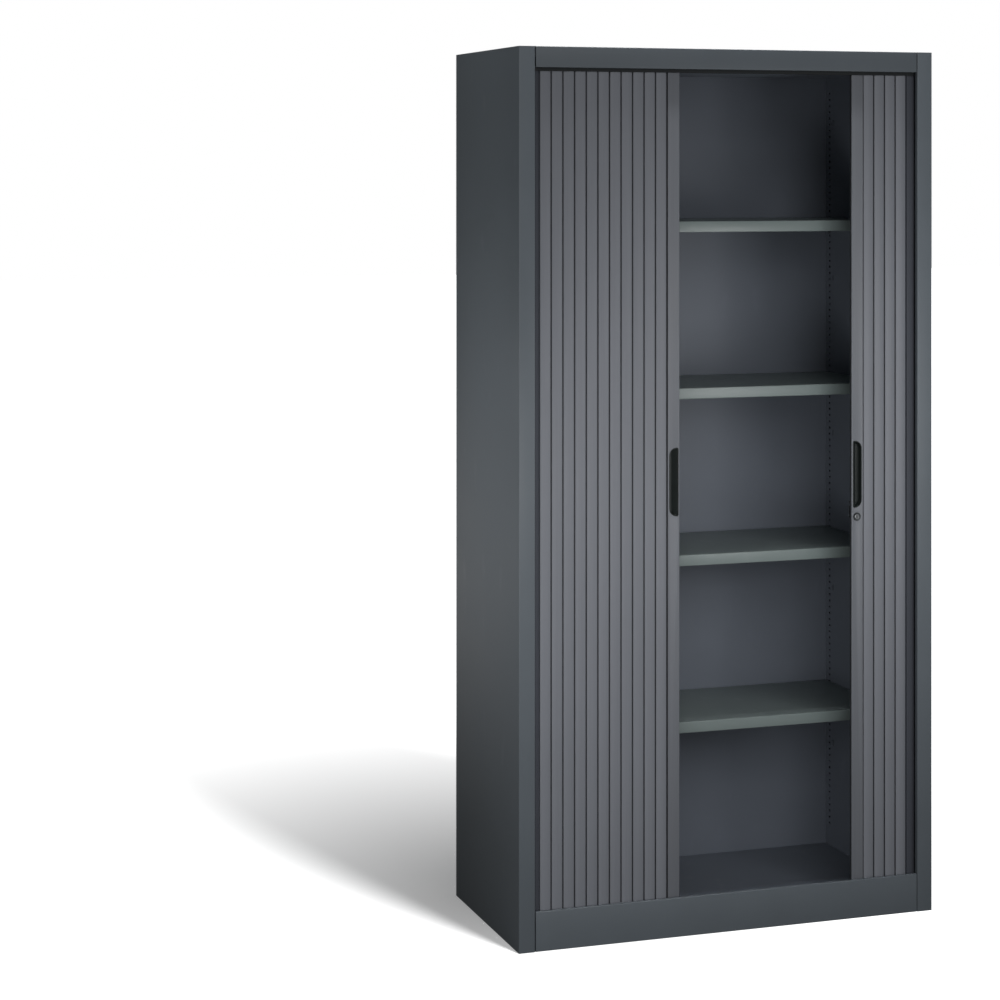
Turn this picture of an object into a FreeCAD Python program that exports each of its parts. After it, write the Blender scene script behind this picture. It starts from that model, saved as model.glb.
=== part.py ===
"""Roll front cabinet: a folded steel case with four shelves and two slatted shutters.

Each shutter slides on a floor track and a ceiling track behind the front frame, and its
slats turn round a corner into the pocket between the side panel and the inner wall.
X runs to the right, Y to the back and Z up. The origin is the middle of the footprint.
The left half is modelled, and what the right half shares is its mirror image.
"""
import FreeCAD
import Part
import math
import os

V = FreeCAD.Vector

# Overall size
cabinet_width = 1000.0
cabinet_depth = 420.0
cabinet_height = 1950.0

# Sheet steel of the case
sheet = 1.0
bend_inside = 0.8

# Corner posts, which are the folded edges of the side panels
post_width = 37.0
post_lip_depth = 11.0
rear_flange_width = 30.0
lip_top_gap = 0.3

# Front frame between the posts
seam_gap = 2.0
top_rail_height = 45.0
top_rail_lower_return = 8.0
top_rail_upper_return = 10.0
plinth_height = 86.0
plinth_upper_return = 7.0
plinth_lower_return = 20.0
top_flange = 20.0
rear_seam = 0.5

# Inside of the case
inner_wall_inset = 53.0
floor_height = 45.0
back_inset = 12.0
wall_front = 40.0
wall_flange = 15.0
front_upright_width = 105.0
rear_upright_width = 50.0

# Perforation of the uprights
hole_pitch = 15.0
hole_first = 98.0
hole_top_margin = 30.0
hole_width = 7.0
hole_height = 5.0
front_column_inset = 20.0
front_spare_rows_count = 1
rear_column_inset = 20.0
slot_first = 297.0
slot_width = 4.0
slot_height = 14.0
slot_column_step = 16.5

# Shelves and the clips that carry them
shelf_count = 4
rows_below_first_shelf_count = 21
rows_between_shelves_count = 25
shelf_front_inset = 105.0
shelf_back_gap = 3.0
shelf_side_gap = 2.0
shelf_lip = 25.0
shelf_return = 12.0
clip_seat_rise = 5.0
clip_reach = 10.0
clip_width = 14.0
clip_drop = 13.0
clip_sheet = 1.6
clip_tongue_gap = 0.3
clip_tongue_reach = 3.0
clip_front_setback = 20.0

# Shutter slats: heights are measured from the hinge line towards the front
slat_pitch = 27.2
slat_count = 17
slat_front_inset = 12.0
slat_rise = 6.8
slat_crown = 2.4
slat_wall = 1.5
slat_web = 0.7
slat_gap = 3.0
bead_radius = 1.2
bead_gap = 0.3
socket_wall = 0.7
socket_from_deg = -100.0
socket_to_deg = 155.0
socket_sides_count = 4
bead_sides_count = 4
crown_chords_count = 4
crown_inner_chords_count = 2
neck_thickness = 1.0
neck_length = 4.0
slat_bottom_gap = 7.0
slat_top_gap = 3.0

# Where the shutters stand: distances of their leading edges from the cabinet's sides
left_edge_from_side = 381.0
right_edge_from_side = 197.0

# Path of the slats round the corner and into the pocket
pocket_line_inset = 19.0
corner_radius = 32.0
path_step_share = 2.0
path_halvings = 50

# Tracks
track_wall = 1.5
track_base = 1.2
track_side_gap = 0.75
track_top_height = 8.0
track_bottom_height = 13.0
track_end_gap = 8.0
glider_length = 16.0
glider_width = 5.0
glider_inner_offset = 0.6
glider_run_gap = 0.3

# Lead stile with its grip and lock
stile_width = 29.6
stile_wall = 1.6
stile_edge_radius = 2.0
stile_end_wall = 3.0
stile_side_gap = 3.0
grip_height = 148.0
grip_width = 19.0
grip_edge_inset = 4.5
grip_middle_height = 997.0
grip_depth = 14.0
grip_wall = 1.2
grip_flange = 1.5
grip_flange_thickness = 0.6
grip_outer_corner = 2.5
grip_inner_corner = 16.0
grip_fit_gap = 0.3

# Lock: a plug that turns in a housing and carries a hooked cam
lock_edge_inset = 13.1
lock_below_grip = 96.0
lock_housing_radius = 7.6
lock_flange_radius = 8.6
lock_flange_thickness = 1.2
lock_housing_length = 24.0
lock_fit_gap = 0.2
lock_plug_radius = 5.5
lock_plug_gap = 0.06
key_slot_width = 1.6
key_slot_length = 7.0
key_slot_depth = 4.0
cam_thickness = 2.5
cam_width = 14.0
cam_reach = 33.0
cam_end_radius = 4.0
cam_seat_gap = 0.3
keeper_distance = 25.6
keeper_pin_radius = 2.5
keeper_notch_gap = 0.9
keeper_plate_thickness = 2.0
keeper_plate_width = 18.0
keeper_plate_height = 46.0
closed_gap = 1.0
screw_head_radius = 4.0
screw_head_height = 2.4

# Base: rails under the floor and the screwed levelling feet
base_rail_width = 36.0
base_rail_lift = 4.0
base_rail_sheet = 1.5
base_rail_end_gap = 14.0
rear_rail_return = 11.0
rear_rail_foot_return = 22.0
foot_pad_radius = 15.0
foot_stud_radius = 4.0
foot_stud_length = 30.0
foot_side_inset = 20.0
foot_front_inset = 60.0
foot_rear_inset = 60.0
foot_hole_gap = 0.25
foot_stud_sides_count = 6
foot_pad_sides_count = 12
nut_across_flats = 13.0
nut_height = 6.5
nut_sides_count = 6

# Round corners and round pieces are drawn with straight chords
chord_sag = 0.3
corner_chords_count = 2
round_sides_count = 16

# Overrun of cutting tools
overrun = 2.0

# Places worked out from the sizes above
half_width = cabinet_width / 2
left_edge_out = half_width - left_edge_from_side
right_edge_out = half_width - right_edge_from_side
front = -cabinet_depth / 2
back = cabinet_depth / 2
skin_inner = half_width - sheet
frame_half = half_width - post_width - seam_gap
ceiling_height = cabinet_height - top_rail_height
inside_half = half_width - inner_wall_inset
back_face = back - back_inset
hinge_line = front + slat_front_inset + slat_rise
pocket_line = half_width - pocket_line_inset
corner_start = pocket_line - corner_radius
corner_length = math.pi / 2 * corner_radius
slat_bottom = floor_height + slat_bottom_gap
slat_top = ceiling_height - slat_top_gap
socket_inner = bead_radius + bead_gap
socket_outer = socket_inner + socket_wall
glider_bottom = floor_height + track_base + glider_run_gap
rear_column = back_face - rear_column_inset
front_column = front + wall_front + front_upright_width - front_column_inset
base_top = floor_height - sheet
lock_height = grip_middle_height - lock_below_grip


def chord_count(radius, sweep):
    """Number of straight chords that follow an arc closely enough."""
    chord_sweep = 2 * math.acos(1 - chord_sag / radius)
    return max(corner_chords_count, math.ceil(sweep / chord_sweep))


def corner_points(before, corner, after, radius):
    """Points on the arc that rounds a corner, from the side before it to the side after it."""
    to_before = (before - corner).normalize()
    to_after = (after - corner).normalize()
    half_angle = to_before.getAngle(to_after) / 2
    centre = corner + (to_before + to_after).normalize() * (radius / math.sin(half_angle))
    first = corner + to_before * (radius / math.tan(half_angle)) - centre
    sweep = math.pi - 2 * half_angle
    chords = chord_count(radius, sweep)
    turn = math.copysign(sweep / chords, to_after.cross(to_before).z)
    start = math.atan2(first.y, first.x)
    angles = [start + turn * number for number in range(chords + 1)]
    return [(centre.x + radius * math.cos(a), centre.y + radius * math.sin(a)) for a in angles]


def chorded(points, radii):
    """Closed outline whose corners are rounded by their radii."""
    corners = [V(x, y, 0) for x, y in points]
    outline = []
    for index, corner in enumerate(corners):
        if radii[index] == 0:
            outline.append((corner.x, corner.y))
            continue
        following = corners[(index + 1) % len(corners)]
        outline.extend(corner_points(corners[index - 1], corner, following, radii[index]))
    return outline


def to_space(axis, first, second, along):
    """Point of a section drawn square to an axis: (y, z), (x, z) or (x, y)."""
    if axis == "x":
        return V(along, first, second)
    if axis == "y":
        return V(first, along, second)
    return V(first, second, along)


def prism(axis, points, start, stop, radii=None):
    """Solid with the outlined section between two places on an axis."""
    outline = chorded(points, radii) if radii else points
    corners = [to_space(axis, first, second, start) for first, second in outline]
    face = Part.Face(Part.makePolygon(corners + corners[:1]))
    return face.extrude(to_space(axis, 0, 0, stop - start))


def block(x0, x1, y0, y1, z0, z1):
    """Box between two corners."""
    return Part.makeBox(x1 - x0, y1 - y0, z1 - z0, V(x0, y0, z0))


def ring_points(flat_radius, from_deg, to_deg, sides, x=0, y=0):
    """Corners of straight sides that touch a circle, from one angle to another."""
    step = (to_deg - from_deg) / sides
    radius = flat_radius / math.cos(math.radians(step / 2))
    points = []
    for number in range(sides + 1):
        angle = math.radians(from_deg + number * step)
        points.append((x + radius * math.cos(angle), y + radius * math.sin(angle)))
    return points


def bore_y(radius, x, z, y0, y1):
    """Many-sided hole along Y, its sides outside the radius."""
    return prism("y", ring_points(radius, 0, 360, round_sides_count, x, z)[:-1], y0, y1)


def round_y(radius, x, z, y0, y1):
    """Many-sided round piece along Y, its corners on the radius."""
    return bore_y(radius * math.cos(math.pi / round_sides_count), x, z, y0, y1)


def folded(axis, path, start, stop, thickness=sheet, bend=bend_inside):
    """Folded sheet whose outer face follows the path, its metal to the path's left."""
    normals = []
    for (ax, ay), (bx, by) in zip(path, path[1:]):
        length = math.hypot(bx - ax, by - ay)
        normals.append(((ay - by) / length, (bx - ax) / length))
    inner = []
    turns = []
    for index, (px, py) in enumerate(path):
        before = normals[max(index - 1, 0)]
        after = normals[min(index, len(normals) - 1)]
        share = thickness / (1 + before[0] * after[0] + before[1] * after[1])
        inner.append((px + (before[0] + after[0]) * share, py + (before[1] + after[1]) * share))
        turns.append(before[0] * after[1] - before[1] * after[0])
    wide = bend + thickness if bend else 0
    outer_radii = [0 if t == 0 else (wide if t > 0 else bend) for t in turns]
    inner_radii = [0 if t == 0 else (bend if t > 0 else wide) for t in turns]
    outline = list(path) + inner[::-1]
    return prism(axis, outline, start, stop, outer_radii + inner_radii[::-1])


def fuse(shapes):
    """One solid out of overlapping solids."""
    result = shapes[0].fuse(shapes[1:])
    return result.removeSplitter()


def mirrored(shape):
    """The same shape on the other side of the cabinet."""
    return shape.mirror(V(0, 0, 0), V(1, 0, 0))


def side_panel():
    """Left side: skin, front post with its lip, and rear flange, folded from one sheet."""
    path = [
        (-half_width + rear_flange_width, back),
        (-half_width, back),
        (-half_width, front),
        (-half_width + post_width, front),
        (-half_width + post_width, front + post_lip_depth),
    ]
    panel = folded("z", path, 0, cabinet_height)
    lip_x = -half_width + post_width
    above = block(
        lip_x - sheet - overrun, lip_x + overrun, front + sheet, front + post_lip_depth + overrun,
        ceiling_height - lip_top_gap, cabinet_height + overrun,
    )
    return panel.cut(above)


def top_panel():
    """Top plate with flanges turned down, notched for the front rail."""
    plate_bottom = cabinet_height - sheet
    flange_bottom = plate_bottom - top_flange
    rail_back = front + top_rail_upper_return
    rear_half = half_width - rear_flange_width - rear_seam
    plate = block(-skin_inner, skin_inner, front + sheet, back - sheet, plate_bottom, cabinet_height)
    notch = block(
        -frame_half, frame_half, front, rail_back, plate_bottom - overrun, cabinet_height + overrun,
    )
    left = block(
        -skin_inner, -skin_inner + sheet, front + post_lip_depth + sheet, back - sheet - overrun,
        flange_bottom, cabinet_height - sheet / 2,
    )
    front_flange = block(
        -frame_half, frame_half, rail_back, rail_back + sheet, flange_bottom, cabinet_height - sheet / 2,
    )
    rear = folded(
        "x",
        [(back - rear_rail_return, cabinet_height), (back, cabinet_height), (back, ceiling_height)][::-1],
        -rear_half, rear_half, bend=0,
    )
    return fuse([plate.cut(notch), left, mirrored(left), front_flange, rear])


def top_rail():
    """Fascia across the top, between the posts, with its two returns."""
    path = [
        (front + top_rail_upper_return, cabinet_height),
        (front, cabinet_height),
        (front, ceiling_height),
        (front + top_rail_lower_return, ceiling_height),
    ]
    return folded("x", path, -frame_half, frame_half)


def plinth():
    """Front of the base, between the posts, with its two returns."""
    path = [
        (front + plinth_upper_return, plinth_height),
        (front, plinth_height),
        (front, 0),
        (front + plinth_lower_return, 0),
    ]
    return folded("x", path, -frame_half, frame_half)


def notched_plate(bottom, y_start):
    """Plate across the whole case, cut away round the lips of the posts."""
    plate = block(-skin_inner, skin_inner, y_start, back - sheet, bottom, bottom + sheet)
    corner = block(
        -half_width, -frame_half, front, front + post_lip_depth + sheet,
        bottom - overrun, bottom + sheet + overrun,
    )
    return plate.cut([corner, mirrored(corner)])


def bottom_panel():
    """Floor of the case."""
    return notched_plate(base_top, front + sheet)


def ceiling_panel():
    """Plate under the top that carries the upper tracks."""
    return notched_plate(ceiling_height, front + top_rail_lower_return)


def back_panel():
    """Inset back plate with flanges turned to the rear."""
    half = half_width - rear_flange_width - rear_seam
    plate = block(-half, half, back_face, back_face + sheet, floor_height, ceiling_height)
    left = block(-half, -half + sheet, back_face, back, floor_height, ceiling_height)
    lower = block(-half, half, back_face, back, floor_height, floor_height + sheet)
    upper = block(-half, half, back_face, back, ceiling_height - sheet, ceiling_height)
    return fuse([plate, left, mirrored(left), lower, upper])


def all_rows():
    """Numbers of the rows of holes, from the floor to the ceiling."""
    count = int((ceiling_height - hole_first - hole_top_margin) / hole_pitch) + 1
    return range(count)


def shelf_row(number):
    """Row of holes that carries a shelf, counted from 0 at the bottom."""
    return rows_below_first_shelf_count + number * rows_between_shelves_count


def rows_near_shelves():
    """Rows within reach of a shelf's place, where it can be hung higher or lower."""
    rows = []
    for number in range(shelf_count):
        middle = shelf_row(number)
        rows.extend(range(middle - front_spare_rows_count, middle + front_spare_rows_count + 1))
    return rows


def upright(y_start, y_stop, column, rows, with_slots):
    """Perforated post of the left inner wall, its flanges turned into the pocket."""
    path = [
        (-inside_half - wall_flange, y_stop),
        (-inside_half, y_stop),
        (-inside_half, y_start),
        (-inside_half - wall_flange, y_start),
    ]
    post = folded("z", path[::-1], floor_height, ceiling_height, bend=0)
    tools = []
    x0 = -inside_half - sheet - overrun
    x1 = -inside_half + overrun
    for row in rows:
        z = hole_first + row * hole_pitch
        tools.append(block(
            x0, x1, column - hole_width / 2, column + hole_width / 2,
            z - hole_height / 2, z + hole_height / 2,
        ))
    if with_slots:
        slot_y = column - slot_column_step
        for number in range(shelf_count + 1):
            z = slot_first + number * rows_between_shelves_count * hole_pitch
            tools.append(block(
                x0, x1, slot_y - slot_width / 2, slot_y + slot_width / 2,
                z - slot_height / 2, z + slot_height / 2,
            ))
    return post.cut(Part.makeCompound(tools))


def front_upright():
    """Front post of the left inner wall."""
    y_start = front + wall_front
    return upright(y_start, y_start + front_upright_width, front_column, rows_near_shelves(), False)


def rear_upright():
    """Rear post of the left inner wall, against the back panel."""
    return upright(back_face - rear_upright_width, back_face, rear_column, all_rows(), True)


def inner_wall():
    """Plain sheet of the left inner wall between its two posts."""
    y_start = front + wall_front + front_upright_width
    y_stop = back_face - rear_upright_width
    return block(-inside_half - sheet, -inside_half, y_start, y_stop, floor_height, ceiling_height)


def shelf_bottom(number):
    """Height of the lower edge of a shelf, counted from 0 at the bottom."""
    return hole_first + shelf_row(number) * hole_pitch + clip_seat_rise


def shelf(number):
    """Shelf with a deep folded lip at the front and back and a flange at each end."""
    low = shelf_bottom(number)
    high = low + shelf_lip
    y0 = front + shelf_front_inset
    y1 = back_face - shelf_back_gap
    half = inside_half - shelf_side_gap
    path = [
        (y1 - shelf_return, low),
        (y1, low),
        (y1, high),
        (y0, high),
        (y0, low),
        (y0 + shelf_return, low),
    ]
    tray = folded("x", path, -half, half)
    end = block(-half, -half + sheet, y0 + sheet, y1 - sheet, low, high - sheet / 2)
    return fuse([tray, end, mirrored(end)])


def clip(number, column):
    """Clip in one hole of a left upright, its ledge under the shelf's end flange."""
    seat = shelf_bottom(number)
    hole_z = seat - clip_seat_rise
    y0 = column - clip_width / 2
    y1 = column + clip_width / 2
    ledge = block(-inside_half, -inside_half + clip_reach, y0, y1, seat - clip_sheet, seat)
    plate = block(-inside_half, -inside_half + clip_sheet, y0, y1, seat - clip_drop, seat)
    tongue_half_width = hole_width / 2 - clip_tongue_gap
    tongue_half_height = hole_height / 2 - clip_tongue_gap
    tongue = block(
        -inside_half - sheet - clip_tongue_reach, -inside_half + clip_sheet,
        column - tongue_half_width, column + tongue_half_width,
        hole_z - tongue_half_height, hole_z + tongue_half_height,
    )
    return fuse([ledge, plate, tongue])


def shelf_clips():
    """Four clips under every shelf."""
    solids = []
    for number in range(shelf_count):
        for column in (front_column, rear_column):
            one = clip(number, column)
            solids.extend([one, mirrored(one)])
    return Part.makeCompound(solids)


def pocket_edge(offset, z):
    """One long edge of the left pocket track: its quarter turn and its straight run."""
    centre_y = hinge_line + corner_radius
    radius = corner_radius + offset
    first = V(-corner_start, hinge_line - offset, z)
    slant = radius * math.sqrt(0.5)
    middle = V(-corner_start - slant, centre_y - slant, z)
    last = V(-corner_start - radius, centre_y, z)
    end = V(-corner_start - radius, back_face - track_end_gap, z)
    return [Part.Arc(first, middle, last).toShape(), Part.LineSegment(last, end).toShape()], first, end


def band(near, far, z0, z1):
    """Strip of the left pocket track between two distances outside the hinge line."""
    outer, outer_first, outer_end = pocket_edge(far, z0)
    inner, inner_first, inner_end = pocket_edge(near, z0)
    closing = [
        Part.LineSegment(outer_end, inner_end).toShape(),
        Part.LineSegment(inner_first, outer_first).toShape(),
    ]
    edges = Part.__sortEdges__(outer + inner + closing)
    return Part.Face(Part.Wire(edges)).extrude(V(0, 0, z1 - z0))


def track_offsets():
    """Distances of the track's walls from the hinge line, inner wall first."""
    outer = slat_rise + track_side_gap
    inner = -socket_outer - track_side_gap
    return inner - track_wall, inner, outer, outer + track_wall


def pocket_track(base_low, base_high, wall_low, wall_high):
    """Curved track of the left pocket: two walls on a base."""
    a, b, c, d = track_offsets()
    return fuse([
        band(a, d, base_low, base_high),
        band(a, b, wall_low, wall_high),
        band(c, d, wall_low, wall_high),
    ])


def straight_track(base_low, base_high, wall_low, wall_high):
    """Track across the front, between the two corners."""
    a, b, c, d = track_offsets()
    x = corner_start
    return fuse([
        block(-x, x, hinge_line - d, hinge_line - a, base_low, base_high),
        block(-x, x, hinge_line - b, hinge_line - a, wall_low, wall_high),
        block(-x, x, hinge_line - d, hinge_line - c, wall_low, wall_high),
    ])


def bottom_levels():
    """Base and wall heights of a floor track."""
    return floor_height, floor_height + track_base, floor_height, floor_height + track_bottom_height


def top_levels():
    """Base and wall heights of a ceiling track."""
    return ceiling_height - track_base, ceiling_height, ceiling_height - track_top_height, ceiling_height


def path_point(distance):
    """Point of the left hinge line at a distance from the middle of the front."""
    if distance <= corner_start:
        return V(-distance, hinge_line, 0)
    centre_y = hinge_line + corner_radius
    if distance <= corner_start + corner_length:
        angle = (distance - corner_start) / corner_radius
        return V(
            -corner_start - corner_radius * math.sin(angle), centre_y - corner_radius * math.cos(angle), 0,
        )
    return V(-pocket_line, centre_y + distance - corner_start - corner_length, 0)


def next_distance(distance):
    """Place on the path of the next hinge, one slat away in a straight line."""
    here = path_point(distance)
    low = distance
    high = distance + path_step_share * slat_pitch
    for _ in range(path_halvings):
        middle = (low + high) / 2
        if (path_point(middle) - here).Length < slat_pitch:
            low = middle
        else:
            high = middle
    return low


def hinge_points(edge_out):
    """Hinges of a curtain whose leading edge stands edge_out from the middle."""
    distance = edge_out + stile_width
    points = [path_point(distance)]
    for _ in range(slat_count):
        distance = next_distance(distance)
        points.append(path_point(distance))
    return points


def crown_points(chords, drop):
    """Points of a slat's crowned front, set back by a drop, from its near edge to its far one."""
    start = slat_gap / 2
    half = slat_pitch / 2 - start
    points = []
    for number in range(chords + 1):
        along = 2 * number / chords - 1
        points.append((start + half + half * along, slat_rise - drop - slat_crown * along * along))
    return points


def slat_face_band():
    """Crowned front wall of a slat."""
    outer = crown_points(crown_chords_count, 0)
    inner = crown_points(crown_inner_chords_count, slat_wall)
    return polygon_face(outer + inner[::-1])


def flat_rectangle(x0, x1, y0, y1):
    """Flat face in the plane of a slat's section."""
    return Part.makePlane(x1 - x0, y1 - y0, V(x0, y0, 0))


def polygon_face(points):
    """Flat face with straight sides, in the plane of a slat's section."""
    corners = [V(x, y, 0) for x, y in points]
    return Part.Face(Part.makePolygon(corners + corners[:1]))


def socket_face():
    """Open ring at the near edge of a slat, which holds the bead of the slat before it."""
    outer = ring_points(socket_outer, socket_from_deg, socket_to_deg, socket_sides_count)
    inner = ring_points(socket_inner, socket_from_deg, socket_to_deg, socket_sides_count)
    return polygon_face(outer + inner[::-1])


def bead_faces(hinge_at):
    """Neck and bead at the far edge of a slat or stile; the bead lies within its round size."""
    neck = flat_rectangle(hinge_at - neck_length, hinge_at, -neck_thickness / 2, neck_thickness / 2)
    flat_radius = bead_radius * math.cos(math.pi / bead_sides_count)
    bead = ring_points(flat_radius, 0, 360, bead_sides_count, hinge_at)
    return [neck, polygon_face(bead[:-1])]


def slat_faces():
    """Overlapping faces that make up a slat's section, along X from its own hinge to the next."""
    edge = slat_rise - slat_crown
    near_web = flat_rectangle(slat_gap / 2, slat_gap / 2 + slat_web, bead_radius, edge - slat_wall / 2)
    far_x = slat_pitch - neck_length
    far_web = flat_rectangle(far_x, far_x + slat_web, -neck_thickness / 2, edge - slat_wall / 2)
    return [slat_face_band(), socket_face(), near_web, far_web] + bead_faces(slat_pitch)


def placed_on_chord(shape, here, there):
    """Section-frame solid turned and moved so that it runs from one hinge to the next."""
    result = shape.copy()
    angle = math.degrees(math.atan2(there.y - here.y, there.x - here.x))
    result.rotate(V(0, 0, 0), V(0, 0, 1), angle)
    result.translate(V(here.x, here.y, 0))
    return result


def slat_solid():
    """A slat at its full height, along X from the origin."""
    solid = fuse([face.extrude(V(0, 0, slat_top - slat_bottom)) for face in slat_faces()])
    solid.translate(V(0, 0, slat_bottom))
    return solid


def glider_solid(length_to_hinge):
    """Sliding foot under a slat or stile of the given width, along X from the origin."""
    start = (length_to_hinge - glider_length) / 2
    return block(
        start, start + glider_length, glider_inner_offset, glider_inner_offset + glider_width,
        glider_bottom, slat_bottom,
    )


def front_slat_count(edge_out):
    """Number of slats that lie wholly in the straight front run."""
    return int((corner_start - edge_out - stile_width) / slat_pitch)


def curtain(edge_out):
    """Slats and gliders of a left-hand curtain, in order from the lead stile."""
    hinges = hinge_points(edge_out)
    slat = slat_solid()
    glider = glider_solid(slat_pitch)
    slats = []
    gliders = []
    for here, there in zip(hinges, hinges[1:]):
        slats.append(placed_on_chord(slat, here, there))
        gliders.append(placed_on_chord(glider, here, there))
    return slats, gliders


def grip_outline(edge_out, grow):
    """Outline of the grip's D, its straight side next to the leading edge."""
    near = -(edge_out + grip_edge_inset) + grow
    far = -(edge_out + grip_edge_inset + grip_width) - grow
    low = grip_middle_height - grip_height / 2 - grow
    high = grip_middle_height + grip_height / 2 + grow
    points = [(near, low), (near, high), (far, high), (far, low)]
    radii = [grip_outer_corner + grow] * 2 + [grip_inner_corner + grow] * 2
    return points, radii


def stile_face():
    """Front face of a lead stile."""
    return front + slat_front_inset


def lead_stile(edge_out, with_lock):
    """Hollow stile with closed ends at the leading edge of a left-hand curtain, cut for the grip and lock."""
    body_far = edge_out + stile_width - stile_side_gap
    face_far = edge_out + stile_width - slat_gap / 2
    y0 = stile_face()
    y1 = hinge_line + socket_outer
    near = -edge_out
    corners = [(near, y0), (near, y1), (-body_far, y1), (-body_far, y0)]
    radii = [stile_edge_radius, 0, 0, 0]
    tube = prism("z", corners, slat_bottom, slat_top, radii)
    hollow = block(
        -body_far + stile_wall, near - stile_wall, y0 + stile_wall, y1 - stile_wall,
        slat_bottom + stile_end_wall, slat_top - stile_end_wall,
    )
    lip = block(-face_far, -body_far + stile_wall, y0, y0 + stile_wall, slat_bottom, slat_top)
    section = [
        face.extrude(V(0, 0, slat_top - slat_bottom)) for face in bead_faces(stile_width)
    ]
    hinge_parts = []
    for solid in section:
        solid.translate(V(0, 0, slat_bottom))
        hinge_parts.append(placed_on_chord(solid, V(-edge_out, hinge_line, 0), V(-face_far, hinge_line, 0)))
    stile = fuse([tube.cut(hollow), lip] + hinge_parts)
    points, corner_radii = grip_outline(edge_out, grip_wall + grip_fit_gap)
    tools = [prism("y", points, y0 - overrun, y1 + overrun, corner_radii)]
    if with_lock:
        tools.append(bore_y(
            lock_housing_radius + lock_fit_gap, -(edge_out + lock_edge_inset), lock_height,
            y0 - overrun, y1 + overrun,
        ))
    return stile.cut(tools)


def grip(edge_out):
    """Recessed pull: a D-shaped cup with a thin flange on the stile's face."""
    face = stile_face()
    shell_points, shell_radii = grip_outline(edge_out, grip_wall)
    flange_points, flange_radii = grip_outline(edge_out, grip_flange)
    cave_points, cave_radii = grip_outline(edge_out, 0)
    shell = prism("y", shell_points, face - grip_flange_thickness, face + grip_depth, shell_radii)
    flange = prism("y", flange_points, face - grip_flange_thickness, face, flange_radii)
    cave = prism(
        "y", cave_points, face - grip_flange_thickness - overrun, face + grip_depth - grip_wall, cave_radii,
    )
    return fuse([shell, flange]).cut(cave)


def lock_x():
    """Place of the lock's axis, on the right shutter."""
    return right_edge_out + lock_edge_inset


def lock_housing():
    """Barrel of the lock with its flange on the stile's face."""
    face = stile_face()
    x = lock_x()
    barrel = round_y(lock_housing_radius, x, lock_height, face, face + lock_housing_length)
    flange = round_y(lock_flange_radius, x, lock_height, face - lock_flange_thickness, face)
    bore = bore_y(
        lock_plug_radius + lock_plug_gap, x, lock_height,
        face - lock_flange_thickness - overrun, face + lock_housing_length + overrun,
    )
    return fuse([barrel, flange]).cut(bore)


def cam_face():
    """Front face of the cam, behind the housing."""
    return stile_face() + lock_housing_length + cam_seat_gap


def lock_plug():
    """Turning plug with its key slot."""
    face = stile_face() - lock_flange_thickness
    x = lock_x()
    plug = Part.makeCylinder(lock_plug_radius, cam_face() - face, V(x, face, lock_height), V(0, 1, 0))
    slot = block(
        x - key_slot_width / 2, x + key_slot_width / 2, face - overrun, face + key_slot_depth,
        lock_height - key_slot_length / 2, lock_height + key_slot_length / 2,
    )
    return plug.cut(slot)


def lock_cam():
    """Hooked cam on the plug's rear end, standing up while the lock is open."""
    x = lock_x()
    y0 = cam_face()
    y1 = y0 + cam_thickness
    half = cam_width / 2
    points = [
        (x - half, lock_height - half),
        (x + half, lock_height - half),
        (x + half, lock_height + cam_reach),
        (x - half, lock_height + cam_reach),
    ]
    plate = prism("y", points, y0, y1, [cam_end_radius] * 4)
    notch_radius = keeper_pin_radius + keeper_notch_gap
    notch_z = lock_height + keeper_distance
    notch = fuse([
        bore_y(notch_radius, x, notch_z, y0 - overrun, y1 + overrun),
        block(
            x - half - overrun, x, y0 - overrun, y1 + overrun,
            notch_z - notch_radius, notch_z + notch_radius,
        ),
    ])
    return plate.cut(notch)


def cam_screw():
    """Head of the screw that holds the cam on the plug."""
    y0 = cam_face() + cam_thickness
    return round_y(screw_head_radius, lock_x(), lock_height, y0, y0 + screw_head_height)


def lock_keeper():
    """Plate behind the left stile, with the pin that the cam hooks over."""
    pin_out = left_edge_out + keeper_distance - lock_edge_inset - closed_gap
    y0 = hinge_line + socket_outer
    plate = block(
        -pin_out - keeper_plate_width / 2, -pin_out + keeper_plate_width / 2 - closed_gap,
        y0, y0 + keeper_plate_thickness,
        lock_height - keeper_plate_height / 2, lock_height + keeper_pin_radius * 2,
    )
    pin = round_y(
        keeper_pin_radius, -pin_out, lock_height, y0, cam_face() + cam_thickness + keeper_pin_radius,
    )
    return fuse([plate, pin])


def base_rail():
    """Channel under the left edge of the floor, with holes for two feet."""
    outer = -skin_inner
    path = [
        (outer + base_rail_width, base_rail_lift),
        (outer, base_rail_lift),
        (outer, base_top),
        (outer + base_rail_width, base_top),
    ]
    rail = folded(
        "y", path[::-1], front + base_rail_end_gap, back - rear_rail_foot_return - base_rail_end_gap,
        base_rail_sheet, bend=0,
    )
    holes = [
        stud_prism(x, y, foot_hole_gap, base_rail_lift - overrun, base_rail_lift + base_rail_sheet + overrun)
        for x, y in left_foot_places()
    ]
    return rail.cut(holes)


def rear_base_rail():
    """Channel across the back under the floor."""
    half = half_width - rear_flange_width - rear_seam
    path = [
        (back - rear_rail_foot_return, 0),
        (back, 0),
        (back, base_top),
        (back - rear_rail_return, base_top),
    ]
    return folded("x", path, -half, half, bend=0)


def left_foot_places():
    """Centres of the left pair of feet."""
    x = -half_width + foot_side_inset
    return [(x, front + foot_front_inset), (x, back - foot_rear_inset)]


def foot_places():
    """Centres of all four feet."""
    left = left_foot_places()
    return left + [(-x, y) for x, y in left]


def stud_prism(x, y, gap, z0, z1):
    """Upright prism round a foot's stud, with a gap round it."""
    points = ring_points(foot_stud_radius + gap, 0, 360, foot_stud_sides_count, x, y)
    return prism("z", points[:-1], z0, z1)


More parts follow.
